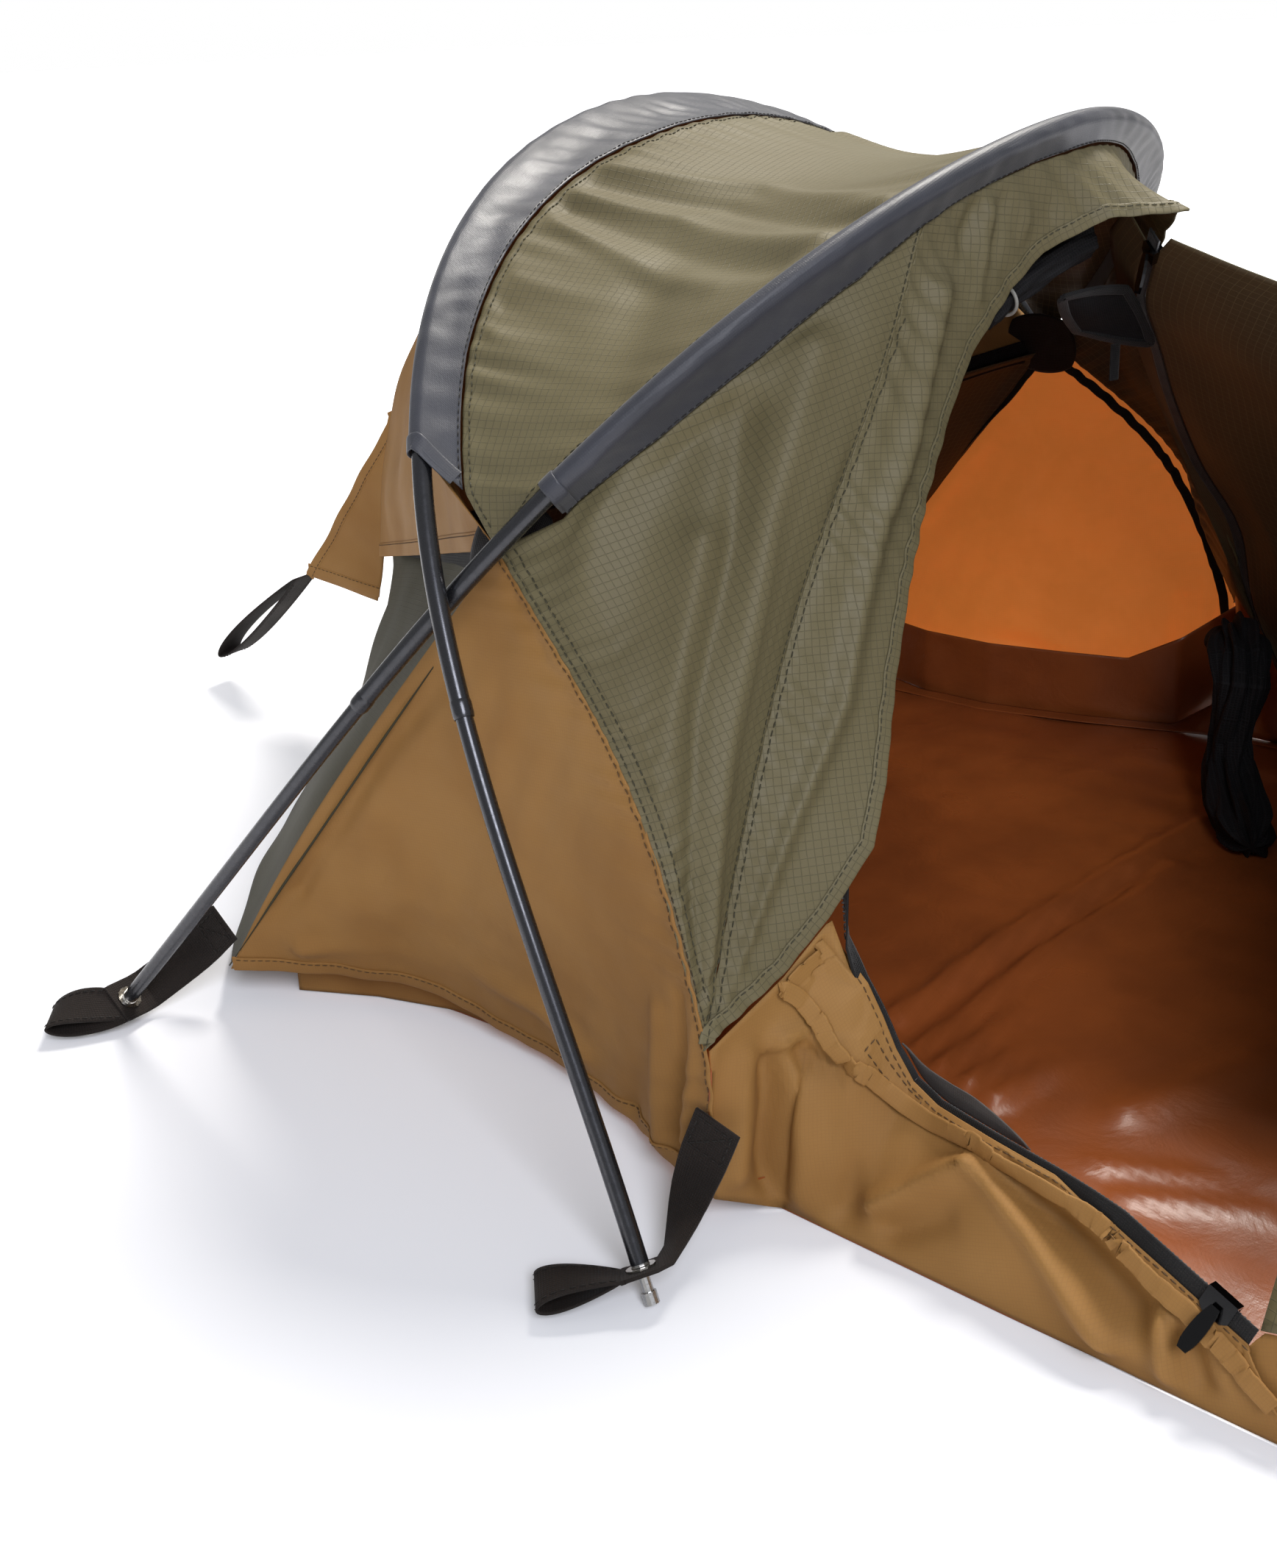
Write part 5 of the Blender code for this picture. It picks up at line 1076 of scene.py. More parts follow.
doorPlan = {"rows": 90, "columns": 110, "lift": 6.0, "gap": 0.0040}


def makeDoor():
    # the near half's front part, turned over the ridge to lie on the far half
    v = np.concatenate([[0.0025], np.linspace(0.10, 0.90, 8), [0.98]])
    door = doorGrid(10, v)
    edge = sideEdge(doorY)
    end = np.array([0.0, doorY, float(ridgeHeight(doorY))])
    slope = math.atan2(end[2] - edge[2], abs(edge[0]))
    turn = math.pi + 2 * slope - math.radians(doorPlan["lift"])
    spin = np.array(Matrix.Rotation(turn, 3, Vector(unit(end - ridgeStart))))
    rest = (door - ridgeStart) @ spin.T + ridgeStart
    if rest[4, 0, 0] < 0 or rest[4, 0, 2] < door[4, 0, 2] - rise / 4:
        spin = spin.T
    v = np.linspace(0.10, 0.98, doorPlan["rows"])
    fine = (doorGrid(doorPlan["columns"], v) - ridgeStart) @ spin.T + ridgeStart
    fine[:, 0] += unit(fine[:, 1] - fine[:, 0]) * 0.014
    fine, _ = loosened(fine, [0.3, 0, 1], 0.020, (0.0050, 0.12, 91), rows=(True, False), columns=(False, True),
                       squash=coverPlan["squash"])
    fine = clearOf(fine, farGrid[::2, ::2], facing(farGrid, [0.3, 0, 1])[::2, ::2], doorPlan["gap"])
    clothPiece("doorFlap", fine, np.array([0.0, 0.0, 2.0]), "ripstopInside", "olive_ripstop", "oliveRipstop",
               replaced=["door_flap"], body="door", held="folded", flip=True)
    return fine


openDoor = makeDoor()

# tub: side walls, floor, storm flap and foot end
tubPlan = {"rows": 620, "columns": 40, "base": 0.0012, "floor": 0.001, "folds": (
    (((-315, 316, 52), (-329, 282, 39), (-343, 243, 14)), (6, 8), (10.8, 10.8)),
    (((-312, 300, 54), (-327, 266, 42), (-337, 236, 30)), (9, 11), (-14.9, -12.1)),
    (((-330, 362, 20), (-320, 335, 40), (-314, 320, 50)), (5, 6), (8.1, 9.5)),
    (((-334, 350, 12), (-327, 327, 26)), (7, 7), (-6.8, -5.4)),
    (((-327, 415, 89), (-316, 408, 90)), (5, 4), (8.1, 5.4)),
    (((-318, 409, 80), (-312, 390, 74)), (5, 5), (-9.5, -6.8)),
    (((-333, 415, 77), (-336, 413, 58), (-342, 413, 33), (-341, 410, 4)), (6, 6), (-10.8, -8.1)),
    (((-345, 424, 85), (-355, 423, 30)), (7, 8), (6.8, 6.8)),
    (((-327, 405, 72), (-329, 398, 34), (-335, 396, 4)), (8, 10), (8.1, 8.1)),
    (((-331, 372, 34), (-336, 376, 4)), (6, 9), (-4.1, -8.1)),
    (((-341, 210, 29), (-345, 202, 12)), (6, 6), (-8.1, -6.8)),
    (((-340, 222, 30), (-346, 214, 8)), (5, 6), (6.8, 6.8)),
    (((-338, 140, 60), (-352, 20, 30), (-345, -120, 60)), (12, 20), (-10.8, -6.8)),
    (((-320, 40, 75), (-330, -160, 40)), (12, 18), (9.5, 8.1)),
    (((-300, -260, 80), (-310, -460, 30)), (14, 20), (-9.5, -8.1)),
    (((-270, -560, 80), (-280, -760, 30)), (14, 18), (9.5, 6.8)),
    (((-235, -860, 70), (-235, -1020, 30)), (12, 16), (-8.1, -6.8)))}


def makeTub():
    side, sideWay = finer(zipLine[zipTurn:]), finer(zipWay[zipTurn:])
    lead = openingEdge[:3] + np.array([0.0, 0.0, -0.002])
    zipTop = side + sideWay * (zipPlan["width"] + 0.0010)
    ys = np.linspace(side[-1][1] - 0.002, footY, 60)
    footTop = sideEdge(ys) + np.array([0.0, 0.0, -0.0010])
    top = np.vstack([lead, zipTop, footTop])
    lower = np.stack([groundLine(top[:, 1]), top[:, 1], np.full(len(top), tubPlan["base"])], axis=1)
    lower[0] = panelFront + np.array([0.0, -0.002, 0.0])
    lower[1] = 0.5 * (lower[0] + lower[2])
    top[0] = top[0] + np.array([0.0, -0.002, 0.0])
    innerY = tent["rearY"] + spacing * np.array([0.85, 0.73, 0.6, 0.45, 0.3, 0.17, 0.07])
    innerLow = np.stack([groundLine(innerY), innerY, np.full(7, tubPlan["base"])], axis=1)
    innerTop = innerLow + np.array([0.012, 0.0, 1.0]) * 0.055
    innerTop[-1, 2] = 0.5 * (innerTop[-1, 2] + top[0, 2])
    top, lower = np.vstack([innerTop, top]), np.vstack([innerLow, lower])
    wall = ruled(top, lower, 24)
    swell = np.sin(np.linspace(0, math.pi, 24))[None, :, None]
    reach = np.linalg.norm(top - lower, axis=1)[:, None, None]
    belly = np.clip((top[0, 1] - top[:, 1] - 0.30) / 0.10, 0.0, 1.0)[:, None, None]
    wall = wall + np.array([-0.10, 0.0, 0.0]) * swell * reach * belly
    count = tubPlan["rows"]
    s = arcLength(wall[:, 12])
    at = np.linspace(0, s[-1], count)
    fine = np.stack([readAt(at, s, wall[:, j]) for j in range(24)], axis=1)
    flat = unrolled(fine)
    fine, _ = loosened(fine, [-1, 0, 0], 0.012, (0.0014, 0.07, 101), tubPlan["folds"])
    for side, flip in flips.items():
        clothPiece(f"{side}TubSide", flip(fine), np.array([0.0, 0.0, 0.05]), *tanLined,
                   replaced=[f"{side}_tub_side"], held="hung", flat=flat)
    return fine


tubGrid = makeTub()

floorPlan = {"rows": 330, "columns": 120, "folds": (
    (((-165, 440, 0), (-60, 425, 0), (60, 402, 0), (200, 370, 0)), (5, 10), (5.9, 5.1)),
    (((-175, 428, 0), (-60, 412, 0), (60, 390, 0)), (6, 9), (-5.1, -4.3)),
    (((-185, 414, 0), (-40, 398, 0), (90, 372, 0)), (4, 8), (5.1, 3.4)),
    (((-196, 396, 0), (-120, 380, 0)), (6, 10), (7.6, 1.7)),
    (((-203, 378, 0), (-125, 358, 0)), (6, 10), (7.6, 1.7)),
    (((-207, 360, 0), (-135, 338, 0)), (6, 10), (6.8, 1.7)),
    (((-226, 297, 0), (-205, 245, 0)), (4, 5), (3.1, 1.7)),
    (((-242, 275, 0), (-215, 215, 0)), (4, 5), (3.1, 1.7)),
    (((-180, 300, 0), (-60, 230, 0)), (10, 20), (5.1, 1.7)))}


def makeFloor():
    rows = np.concatenate([np.linspace(footY, tent["rearY"], 12), tent["rearY"]
                           + spacing * np.array([0.15, 0.3, 0.45, 0.6, 0.75, 0.90])])
    half = np.abs(groundLine(rows)) * np.concatenate([np.ones(len(rows) - 2), [0.96, 0.90]])
    back = headFoot[1] - 0.004
    start = rows[-1]
    tail = start + (back - start) * np.array([0.35, 0.7, 1.0])
    tailHalf = half[-1] * (1 - (tail - start) / (back - start)) * 0.97 + 0.0125
    rows, half = np.concatenate([rows, tail]), np.concatenate([half, tailHalf])
    y = np.linspace(rows[0], rows[-1], floorPlan["rows"])
    half = np.interp(y, rows, half)
    v = np.linspace(-1.0, 1.0, floorPlan["columns"])
    grid = np.stack([half[:, None] * v[None], np.repeat(y[:, None], len(v), axis=1),
                     np.full((len(y), len(v)), tubPlan["floor"])], axis=2)
    held = heldEdges(grid, 0.03)[..., 0]
    folds = drape(grid * np.array([1, 1, 0]), np.array([0, 0, 1.0]), floorPlan["folds"])[..., 2]
    wave = 0.0018 * softNoise(grid, 0.16, 111) + 0.0007 * softNoise(grid, 0.05, 112)
    grid[..., 2] += held * (0.0040 + folds + wave)
    grid[..., 2] = np.maximum(grid[..., 2], 0.0010 + 0.0006 * held)
    clothPiece("tubFloor", grid, np.array([0.0, 0.0, -9.0]), "rustProofing", "tan_cloth", "tanTaffeta",
               replaced=["floor"], held="laid")


makeFloor()


def makeFootEnd():
    edge = sideEdge(np.array([footY]))[0]
    halfBase = abs(groundLine(footY))
    v = np.linspace(-1.0, 1.0, 80)
    crown = float(ridgeHeight(footY))
    upper = np.stack([v * abs(edge[0]), np.full(80, footY), edge[2] + (crown - edge[2]) * (1 - np.abs(v))], axis=1)
    below = np.stack([v * halfBase, np.full(80, footY), np.full(80, tubPlan["base"])], axis=1)
    grid, _ = loosened(ruled(upper, below, 40), [0, -1, 0], 0.014, (0.0025, 0.09, 121))
    clothPiece("footEnd", grid, inside, *tanLined, replaced=["foot_end"], held="stretched")


makeFootEnd()


flapPlan = {"lift": 0.0018, "over": (0.0075, 0.0030), "ease": (0.082, 0.100), "rows": 260, "columns": 26,
            "crown": 0.0035, "gap": 0.0026, "start": (-0.287, 0.411, 0.130), "hem": (
                (-0.320, 0.433, 0.110), (-0.317, 0.411, 0.102), (-0.314, 0.394, 0.082), (-0.307, 0.375, 0.064),
                (-0.305, 0.347, 0.052), (-0.311, 0.321, 0.055), (-0.317, 0.290, 0.054), (-0.321, 0.263, 0.052),
                (-0.325, 0.244, 0.049), (-0.333, 0.225, 0.039), (-0.337, 0.206, 0.034), (-0.341, 0.191, 0.027),
                (-0.346, 0.169, 0.016))}


def makeStormFlap():
    # cloth strip from beside the zip's chain down over the tub, lifted a little where it is loose
    side, sideWay = finer(zipLine[zipTurn - 2:]), finer(zipWay[zipTurn - 2:])
    outward = unit(np.cross(np.gradient(side, axis=0), sideWay))
    outward *= np.where(outward[:, 0:1] > 0, -1.0, 1.0)
    left = arcLength(side)[-1] - arcLength(side)
    over = np.interp(left, flapPlan["ease"], flapPlan["over"])[:, None]
    inner = side + outward * flapPlan["lift"] + sideWay * over
    inner = resample(np.vstack([[flapPlan["start"]], inner[6:]]), flapPlan["rows"])
    outer = rounded(flapPlan["hem"], flapPlan["rows"])
    grid = ruled(inner, outer, flapPlan["columns"])
    normals = facing(grid, [-1, 0, 0.5])
    v = np.linspace(0.0, 1.0, flapPlan["columns"])[None, :, None]
    u = np.linspace(0.0, 1.0, flapPlan["rows"])[:, None, None]
    loose = (0.6 + 0.4 * np.sin(u * 17.0) * np.sin(u * 5.0)) * np.clip((1.0 - u) / 0.35, 0.15, 1.0)
    grid = grid + normals * flapPlan["crown"] * np.sin(v * math.pi) * loose
    grid = grid + normals * (0.0016 * v[..., 0] * softNoise(grid, 0.045, 131))[..., None]
    surface, ways = tubGrid[::2, ::2], facing(tubGrid, [-1, 0, 0])[::2, ::2]
    grid[:, 3:] = clearOf(grid[:, 3:], surface, ways, flapPlan["gap"])
    normals = facing(grid, [-1, 0, 0.5])
    clothPiece("stormFlap", grid, inside, "tanTaffeta", "tan_cloth", replaced=["storm_flap"], held="stretched",
               thickness=0.0009)
    hem, hemWays = insetLine(grid, 1, True, 0.004), insetLine(grid, 1, True, 0.004, normals)
    ribbon("stormFlapHem", hem + hemWays * 0.0004, hemWays, 0.009, 0.0018, "tanTaffeta")
    for word, fromEnd, distance in (("", True, 0.0075), ("Inner", False, 0.003)):
        stitches(f"stormFlap{word}Stitch", insetLine(grid, 1, fromEnd, distance), hemWays, "tanThread")
    patch = ((0.20, 0.30), (0.34, 0.30), (0.34, 0.58), (0.20, 0.58), (0.20, 0.30))
    stitches("stormFlapPatchStitch", lineOn(grid, patch, 120), lineOn(normals, patch, 120), "tanThread")


makeStormFlap()
print("body done")

# zips
def makeZips():
    line, way = finer(zipLine), finer(zipWay)
    v = np.linspace(0.0, 1.0, 8)[None, :, None] * zipPlan["width"]
    tape = line[:, None] + way[:, None] * v
    clothPiece("farZipTape", mirrored(tape), inside, "zipTape", "black_tape", replaced=["far_zip_tape"],
               thickness=zipPlan["wall"])
    turn = int(np.argmin(np.linalg.norm(zipLine - zipArch[-1], axis=1)))
    edge = openingEdge[-1:1:-1] + np.array([0.0, 0.002, 0.0])
    arch = resample(edge, turn + 1, zipPlan["hemStart"])
    sewn = np.vstack([arch[:-1], (zipLine + zipWay * zipPlan["width"])[turn + 1:]])
    free = np.vstack([np.tile([zipPlan["archWay"]], (turn, 1)), -zipWay[turn + 1:]])
    soft, blend = free.copy(), zipPlan["blend"]
    for k in range(-blend, blend + 1):
        soft[turn + k] = unit(free[turn - blend - 1] * (blend - k) + free[turn + blend] * (blend + k))
    sewn, soft = finer(sewn), unit(finer(unit(soft)))
    tape = sewn[:, None] + soft[:, None] * v
    clothPiece("nearZipTape", tape, inside, "zipTape", "black_tape", replaced=["near_zip_tape"],
               thickness=zipPlan["wall"])
    return line, way, sewn, soft


farZipLine, farZipWay, nearSewn, nearFree = makeZips()
toothPlan = {"pitch": 0.0021, "size": (0.0013, 0.0025, 0.0022), "inset": 0.0014}


def makeTeeth(name, line, way):
    # the zip's coil: one small six-sided bar for each turn of it, across the tape's free edge
    a = np.linspace(0, 2 * math.pi, 7)[:-1]
    shape = np.array([[0.5 * math.cos(k), y, 0.5 * math.sin(k)] for y in (-0.5, 0.5) for k in a])
    faces = [(k, k + 6, (k + 1) % 6 + 6, (k + 1) % 6) for k in range(6)]
    faces += [(0, 1, 2, 3), (0, 3, 4, 5), (9, 8, 7, 6), (11, 10, 9, 6)]
    along = arcLength(line)
    s = np.arange(0.003, along[-1] - 0.003, toothPlan["pitch"])
    spots, ways, ahead = (readAt(at, along, values) for at, values in ((s, line), (s, way), (s + 0.0008, line)))
    run = unit(ahead - spots)
    manyOf(name, spots, run, unit(np.cross(run, ways)), shape * np.array(toothPlan["size"]), faces,
           "nylonCoil")


def makeZipTrims():
    nearEdge = nearSewn + nearFree * zipPlan["width"]
    makeTeeth("nearZipCoil", nearEdge - nearFree * toothPlan["inset"], nearFree)
    makeTeeth("farZipCoil", mirrored(farZipLine + farZipWay * toothPlan["inset"]), mirrored(farZipWay))
    farSewn = farZipLine + farZipWay * zipPlan["width"]
    for word, line, way in (("near", nearSewn, nearFree), ("far", mirrored(farSewn), mirrored(-farZipWay))):
        up = turnedAway(unit(np.cross(np.gradient(line, axis=0), way)), line, inside)
        stitches(f"{word}ZipStitch", line + way * 0.0025 + up * 0.0004, up, "blackThread")
    # the facing tape behind the zip rolls out where the chain bends
    ys = zipLine[zipTurn:, 1]
    rear, front = zipPlan["facingReach"]
    run = rounded(zipLine[zipTurn:][(ys < front) & (ys > rear)], 70)
    t = np.linspace(0.0, 1.0, len(run))[:, None]
    rolled = 0.0006 + zipPlan["facingRoll"] * np.sin(t * math.pi) ** 0.8
    upper = run + np.array(zipPlan["facingWay"]) * rolled
    lower = run + np.array(zipPlan["facingFoot"])
    clothPiece("zipFacingTape", ruled(lower, upper, 10), inside, "facingTape", "black_tape", thickness=0.0008)


makeZipTrims()
for word in ("near", "far"):
    for node in ("slider", "pull"):
        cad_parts[f"{word}_zip_{node}"].data.materials[0] = finishes["blackChrome"]

# webbing tabs and peg loops
webPlan = {"width": 0.025, "thickness": 0.0016, "gap": 0.0003, "flange": 0.0072, "flangeWall": 0.0008,
           "barrel": 0.0054, "seatCloth": 0.0008, "loopTurn": 48.0, "loop": 0.040, "opening": 0.0135, "wall": 0.0012,
           "rear": {"sewn": ((-0.8745, -0.021, 0.132), (-0.8931, 0.005, 0.062)), "turn": 46.0},
           "front": {"sewn": ((-0.8837, 0.9065, 0.115), (-0.9077, 0.953, 0.074)), "turn": 0.0}}


def loopBand(name, root, outward, lift, firstWidth, lastWidth, length, width, opening, body, replaced):
    # closed band: out along one side and back along the other, round at its far end
    t = np.linspace(0.0, 2 * math.pi, 121)[:-1]
    reach = length * 0.5 * (1.0 - np.cos(t))
    spread = opening * 0.5 * np.sin(t) * (0.35 + 0.65 * reach / length)
    middle = root + reach[:, None] * unit(outward) + spread[:, None] * unit(lift)
    mix = (reach / length)[:, None]
    widths = unit(unit(firstWidth) * (1 - mix) + unit(lastWidth) * mix)
    v = np.linspace(-0.5, 0.5, 13)[None, :, None] * width
    grid = middle[:, None] + widths[:, None] * v
    clothPiece(name, grid, middle.mean(axis=0), "nylonWebbing", "black_webbing", replaced=replaced, body=body,
               closed=True, thickness=webPlan["wall"])
    push = turnedAway(unit(np.cross(np.gradient(middle, axis=0), widths)), middle, middle.mean(axis=0))
    for side, share in (("Left", -0.40), ("Right", 0.40)):
        line = (middle + widths * width * share)[8:-8]
        stitches(f"{name}{side}Weave", line, push[8:-8], "blackThread", body, 0.00035)


def makeFoot(word, hoop, side):
    plan, flip = webPlan[word], np.array([-side, 1.0, 1.0])
    sideWord = "near" if side < 0 else "far"
    name = f"{word}{sideWord.title()}"
    up, foot = unit(hoop[4] - hoop[0]) * flip, hoop[0] * flip
    seat = foot - up * (webPlan["thickness"] / 2 + webPlan["gap"] * 3 + webPlan["flangeWall"]
                        + webPlan["seatCloth"])
    outward = np.array([side, 0.0, 0.0])
    levelOut = unit(outward - np.dot(outward, up) * up)
    inPlane = turnedUp(np.cross(levelOut, up), 1)
    turn = math.radians(plan["turn"])
    way = levelOut * math.cos(turn) + inPlane * math.sin(turn)
    across = turnedUp(np.cross(up, way), 1)
    reach = webPlan["flange"] + 2 * webPlan["gap"]
    tabEnd, flatStart = seat + way * reach, seat - way * reach
    sewn = placesOf(plan["sewn"]) * flip
    sewnWidth = turnedUp(np.cross(unit(sewn[1] - sewn[0]), outward), 1)
    bend = rounded([sewn[0], sewn[1], flatStart - way * reach * 0.5, flatStart], 9)
    mix = np.clip(np.linspace(-0.3, 1.0, len(bend)), 0.0, 1.0)[:, None]
    middle = np.vstack([bend, [seat, tabEnd]])
    widths = np.vstack([sewnWidth * (1 - mix) + across * mix, [across, across]])
    steps = arcLength(middle)
    fine = np.linspace(0, steps[-1], 150)
    middle, widths = (readAt(fine, steps, values) for values in (middle, widths))
    grid = middle[:, None] + unit(widths)[:, None] * np.linspace(-0.5, 0.5, 31)[None, :, None] * webPlan["width"]
    normals = facing(grid, [side, 0.0, 1.0])
    grid = grid + normals * webPlan["thickness"] / 2

    def keep(centres):
        off = centres - seat
        off = off - np.outer(off @ up, up)
        return np.linalg.norm(off, axis=1) > webPlan["barrel"] + webPlan["gap"]

    below = middle.mean(axis=0) - np.array([side * 0.3, 0.0, 0.3])
    clothPiece(f"{name}WebbingTab", grid, below, "nylonWebbing", "black_webbing",
               replaced=[f"{word}_{sideWord}_webbing_tab"], thickness=webPlan["thickness"], keep=keep)
    box = ((0.03, 0.12), (0.20, 0.12), (0.20, 0.88), (0.03, 0.88), (0.03, 0.12), (0.20, 0.88))
    stitches(f"{name}TabStitch", lineOn(grid, box, 150), lineOn(normals, box, 150), "blackThread")
    level = np.array([side * math.cos(math.radians(webPlan["loopTurn"])),
                      math.sin(math.radians(webPlan["loopTurn"])), 0.0])
    fall = (tabEnd[2] - webPlan["opening"] / 2 - webPlan["wall"]) / webPlan["loop"]
    down = unit(level - np.array([0.0, 0.0, fall * 0.75]))
    bar = tabEnd + way * 0.0006 + across * np.linspace(-0.49, 0.49, 12)[:, None] * webPlan["width"]
    ribbon(f"{name}BarTack", bar, up, 0.0034, 0.0021, "nylonWebbing")
    root = tabEnd + way * (webPlan["gap"] + webPlan["wall"])
    flatWidth = turnedUp(np.cross([0.0, 0.0, 1.0], level), 1)
    lift = turnedUp(np.cross(flatWidth, down), 2)
    loopBand(f"{name}PegLoop", root, down, lift, across, flatWidth, webPlan["loop"], webPlan["width"] * 0.96,
             webPlan["opening"], f"{word}_{sideWord}_loop", [f"{word}_{sideWord}_peg_loop"])


for word, hoop in (("rear", rearHoop), ("front", frontHoop)):
    for side in (-1.0, 1.0):
        makeFoot(word, hoop, side)


def makeEndLoops():
    end = np.array([0.0, tent["halfLength"], 0.055 * rise])
    way = end - finCorner
    root = finCorner + unit(way) * (webPlan["gap"] + webPlan["wall"])
    loopBand("headPegLoop", root, way, np.cross(way, [-1.0, 0.0, 0.0]), [1.0, 0, 0], [1.0, 0, 0],
             np.linalg.norm(end - root) - webPlan["wall"], webPlan["width"], webPlan["opening"] * 1.6,
             "head_loop", ["head_peg_loop"])
    root = np.array([0.0, footY - 0.0005 - 0.0008 - webPlan["wall"], webPlan["opening"]])
    length = root[1] + tent["halfLength"] - webPlan["wall"] / 2
    loopBand("footPegLoop", root, np.array([0.0, -length, -webPlan["opening"] * 0.4]), [0, 0, 1.0], [1.0, 0, 0],
             [1.0, 0, 0], length, webPlan["width"], webPlan["opening"], "foot_loop", ["foot_peg_loop"])


makeEndLoops()

# netting
netPlan = {"roll": ((-0.1902, 0.027, 0.803), (-0.107, 0.009, 0.832), (-0.012, -0.030, 0.864),
                    (0.020, -0.055, 0.869)),
           "rollRadius": 0.009, "elastic": 0.001, "bundleRadius": 0.031 * rise,
           "bundle": ((0.600, -0.085, 0.250), (0.490, -0.150, 0.205), (0.465, -0.142, 0.085), (0.300, -0.250, 0.030)),
           "panel": ((-0.014, -0.001, 0.8055), (0.124, -0.053, 0.8055), (0.239, -0.055, 0.7115),
                     (0.1242, 0.038, 0.7405)),
           "pull": (0.181, -0.011, 0.7225), "pullSize": (0.022, 0.007, 0.0018)}


def makeNetting():
    coarse = rounded(placesOf(netPlan["roll"]), 11)
    tie = arcLength(coarse)[2]

    def rolled(s, a):  # layers wound round each other, drawn in by the tie
        wound = 0.0007 * np.sin(5 * a + 90 * s) + 0.0005 * np.sin(9 * a - 140 * s)
        slit = -0.0026 * np.exp(-((np.mod(a + 14 * s, 2 * math.pi) - 2.2) / 0.20) ** 2)
        return wound + slit - 0.0012 * np.exp(-((s - tie) / 0.005) ** 2)

    tubePiece("netRoll", resample(coarse, 110, 0.0, 0.009), netPlan["rollRadius"], 48, "insectNet",
              replaced=["net_roll"], shape=rolled)

    def bunched(s, a):  # pleats running along the bundle, deeper where it bulges
        swell = 0.5 + 0.5 * np.sin(s * 38.0 + 1.0)
        pleats = 0.0030 * np.sin(6 * a + 3 * np.sin(s * 30)) + 0.0018 * np.sin(13 * a - 55 * s)
        return pleats * (0.6 + 0.7 * swell) + 0.0028 * np.sin(2 * a + 46 * s)

    path = resample(rounded(placesOf(netPlan["bundle"]), 11), 190)
    ends = np.minimum(1.0, np.sqrt(np.linspace(0, 12, 190)) * 0.7 + 0.25)
    ends = np.minimum(ends, ends[::-1])
    tubePiece("netBundle", path, netPlan["bundleRadius"] * ends, 72, "insectNet",
              replaced=["net_bundle"], shape=bunched)
    way = unit(coarse[3] - coarse[1])
    side = unit(np.cross(way, [0.0, 0.0, 1.0]))
    up = np.cross(side, way)
    a = np.linspace(0, 2 * math.pi, 49)[:-1, None]
    radius = netPlan["rollRadius"] + netPlan["elastic"] + 0.0003
    ring = coarse[2] + radius * (np.cos(a) * side + np.sin(a) * up)
    tubePiece("netTieLoop", ring, netPlan["elastic"], 10, "elasticBraid", replaced=["net_tie_loop"],
              closed=True)
    corners = placesOf(netPlan["panel"])
    x, y = roundedSquare(48, 0.18)
    u, v = ((y + 1) / 2)[..., None], ((x + 1) / 2)[..., None]
    grid = (corners[0] * (1 - u) + corners[3] * u) * (1 - v) + (corners[1] * (1 - u) + corners[2] * u) * v
    normals = facing(grid, [-1, -1, 0])
    grid = grid + normals * (0.0016 * softNoise(grid, 0.045, 141) * (1 - np.maximum(abs(x), abs(y)) ** 4))[..., None]
    clothPiece("netPanel", grid, grid.mean(axis=(0, 1)) - normals.mean(axis=(0, 1)), "insectNet", "black_net",
               replaced=["net_panel"], thickness=0.0012)
    rim, rimWays = (np.vstack([rows[0, :-1], rows[:-1, -1], rows[-1, :0:-1], rows[:0:-1, 0]])
                    for rows in (grid, normals))
    middle = grid.mean(axis=(0, 1))
    ribbon("netPanelBinding", rim + unit(middle - rim) * 0.002, rimWays, 0.006, 0.0026, "zipTape",
           closed=True)
    length, width, thick = netPlan["pullSize"]
    drop = placeOf(netPlan["pull"]) + np.array([0.0, 0.0, -1.0]) * np.linspace(0, length, 24)[:, None]
    ribbon("netZipPull", drop, unit([0.4, 0.9, 0.0]), width, thick, "zipTape",
           replaced=["net_zip_pull"])
    clothPiece("ventMesh", ruled(ventGrid[2:-2, -3] - ventNormals[2:-2, -3] * 0.002,
                                 headGrid[2:-2, 2] - headNormals[2:-2, 2] * 0.0015, 12), inside, "insectNet",
               "black_net", thickness=0.0005)


makeNetting()

# hems and seams: how wide and thick the turned cloth is, and how far each thing stands off it
seamPlan = {"hemWidth": 0.008, "hemWall": 0.0014, "hemLift": 0.0003, "hemStitchLift": 0.0008, "stitchLift": 0.0001,
            "stitchShare": 0.86}
# cloth, thread and slot
sewing = {"olive": ("oliveRipstop", "oliveThread", "olive_ripstop"), "tan": ("tanTaffeta", "tanThread", "tan_cloth"),
          "lining": ("ripstopInside", "oliveThread", "olive_ripstop")}
# where the outside of each panel looks
looks = {"hood": [0, -0.5, 1], "dart": [-1, -0.5, 1], "fly": [-1, 0, 0.3], "side": [-1, 0, 0], "roof": [0, 0, 1],
         "vent": [0, 1, 0.5], "door": [0.3, 0, 1]}


def borderLine(grid, axis, fromEnd, distance, look):  # a line along a border, with the cloth's normals
    normals = facing(grid, looks[look])
    return insetLine(grid, axis, fromEnd, distance), insetLine(grid, axis, fromEnd, distance, normals)


def hem(name, grid, axis, fromEnd, cloth, look, width=None, sides=("near",), body="tent"):
    # cloth turned over at a border, with its row of stitches
    finish, thread, slot = sewing[cloth]
    width = width or seamPlan["hemWidth"]
    line, ways = borderLine(grid, axis, fromEnd, width / 2, look)
    row, rowWays = borderLine(grid, axis, fromEnd, width * seamPlan["stitchShare"], look)
    for side in sides:
        flip = flips[side]
        ribbon(f"{side}{name}", flip(line + ways * seamPlan["hemLift"]), flip(ways), width, seamPlan["hemWall"],
               finish, body)
        stitches(f"{side}{name}Stitch", flip(row + rowWays * seamPlan["hemStitchLift"]), flip(rowWays), thread,
                 body)


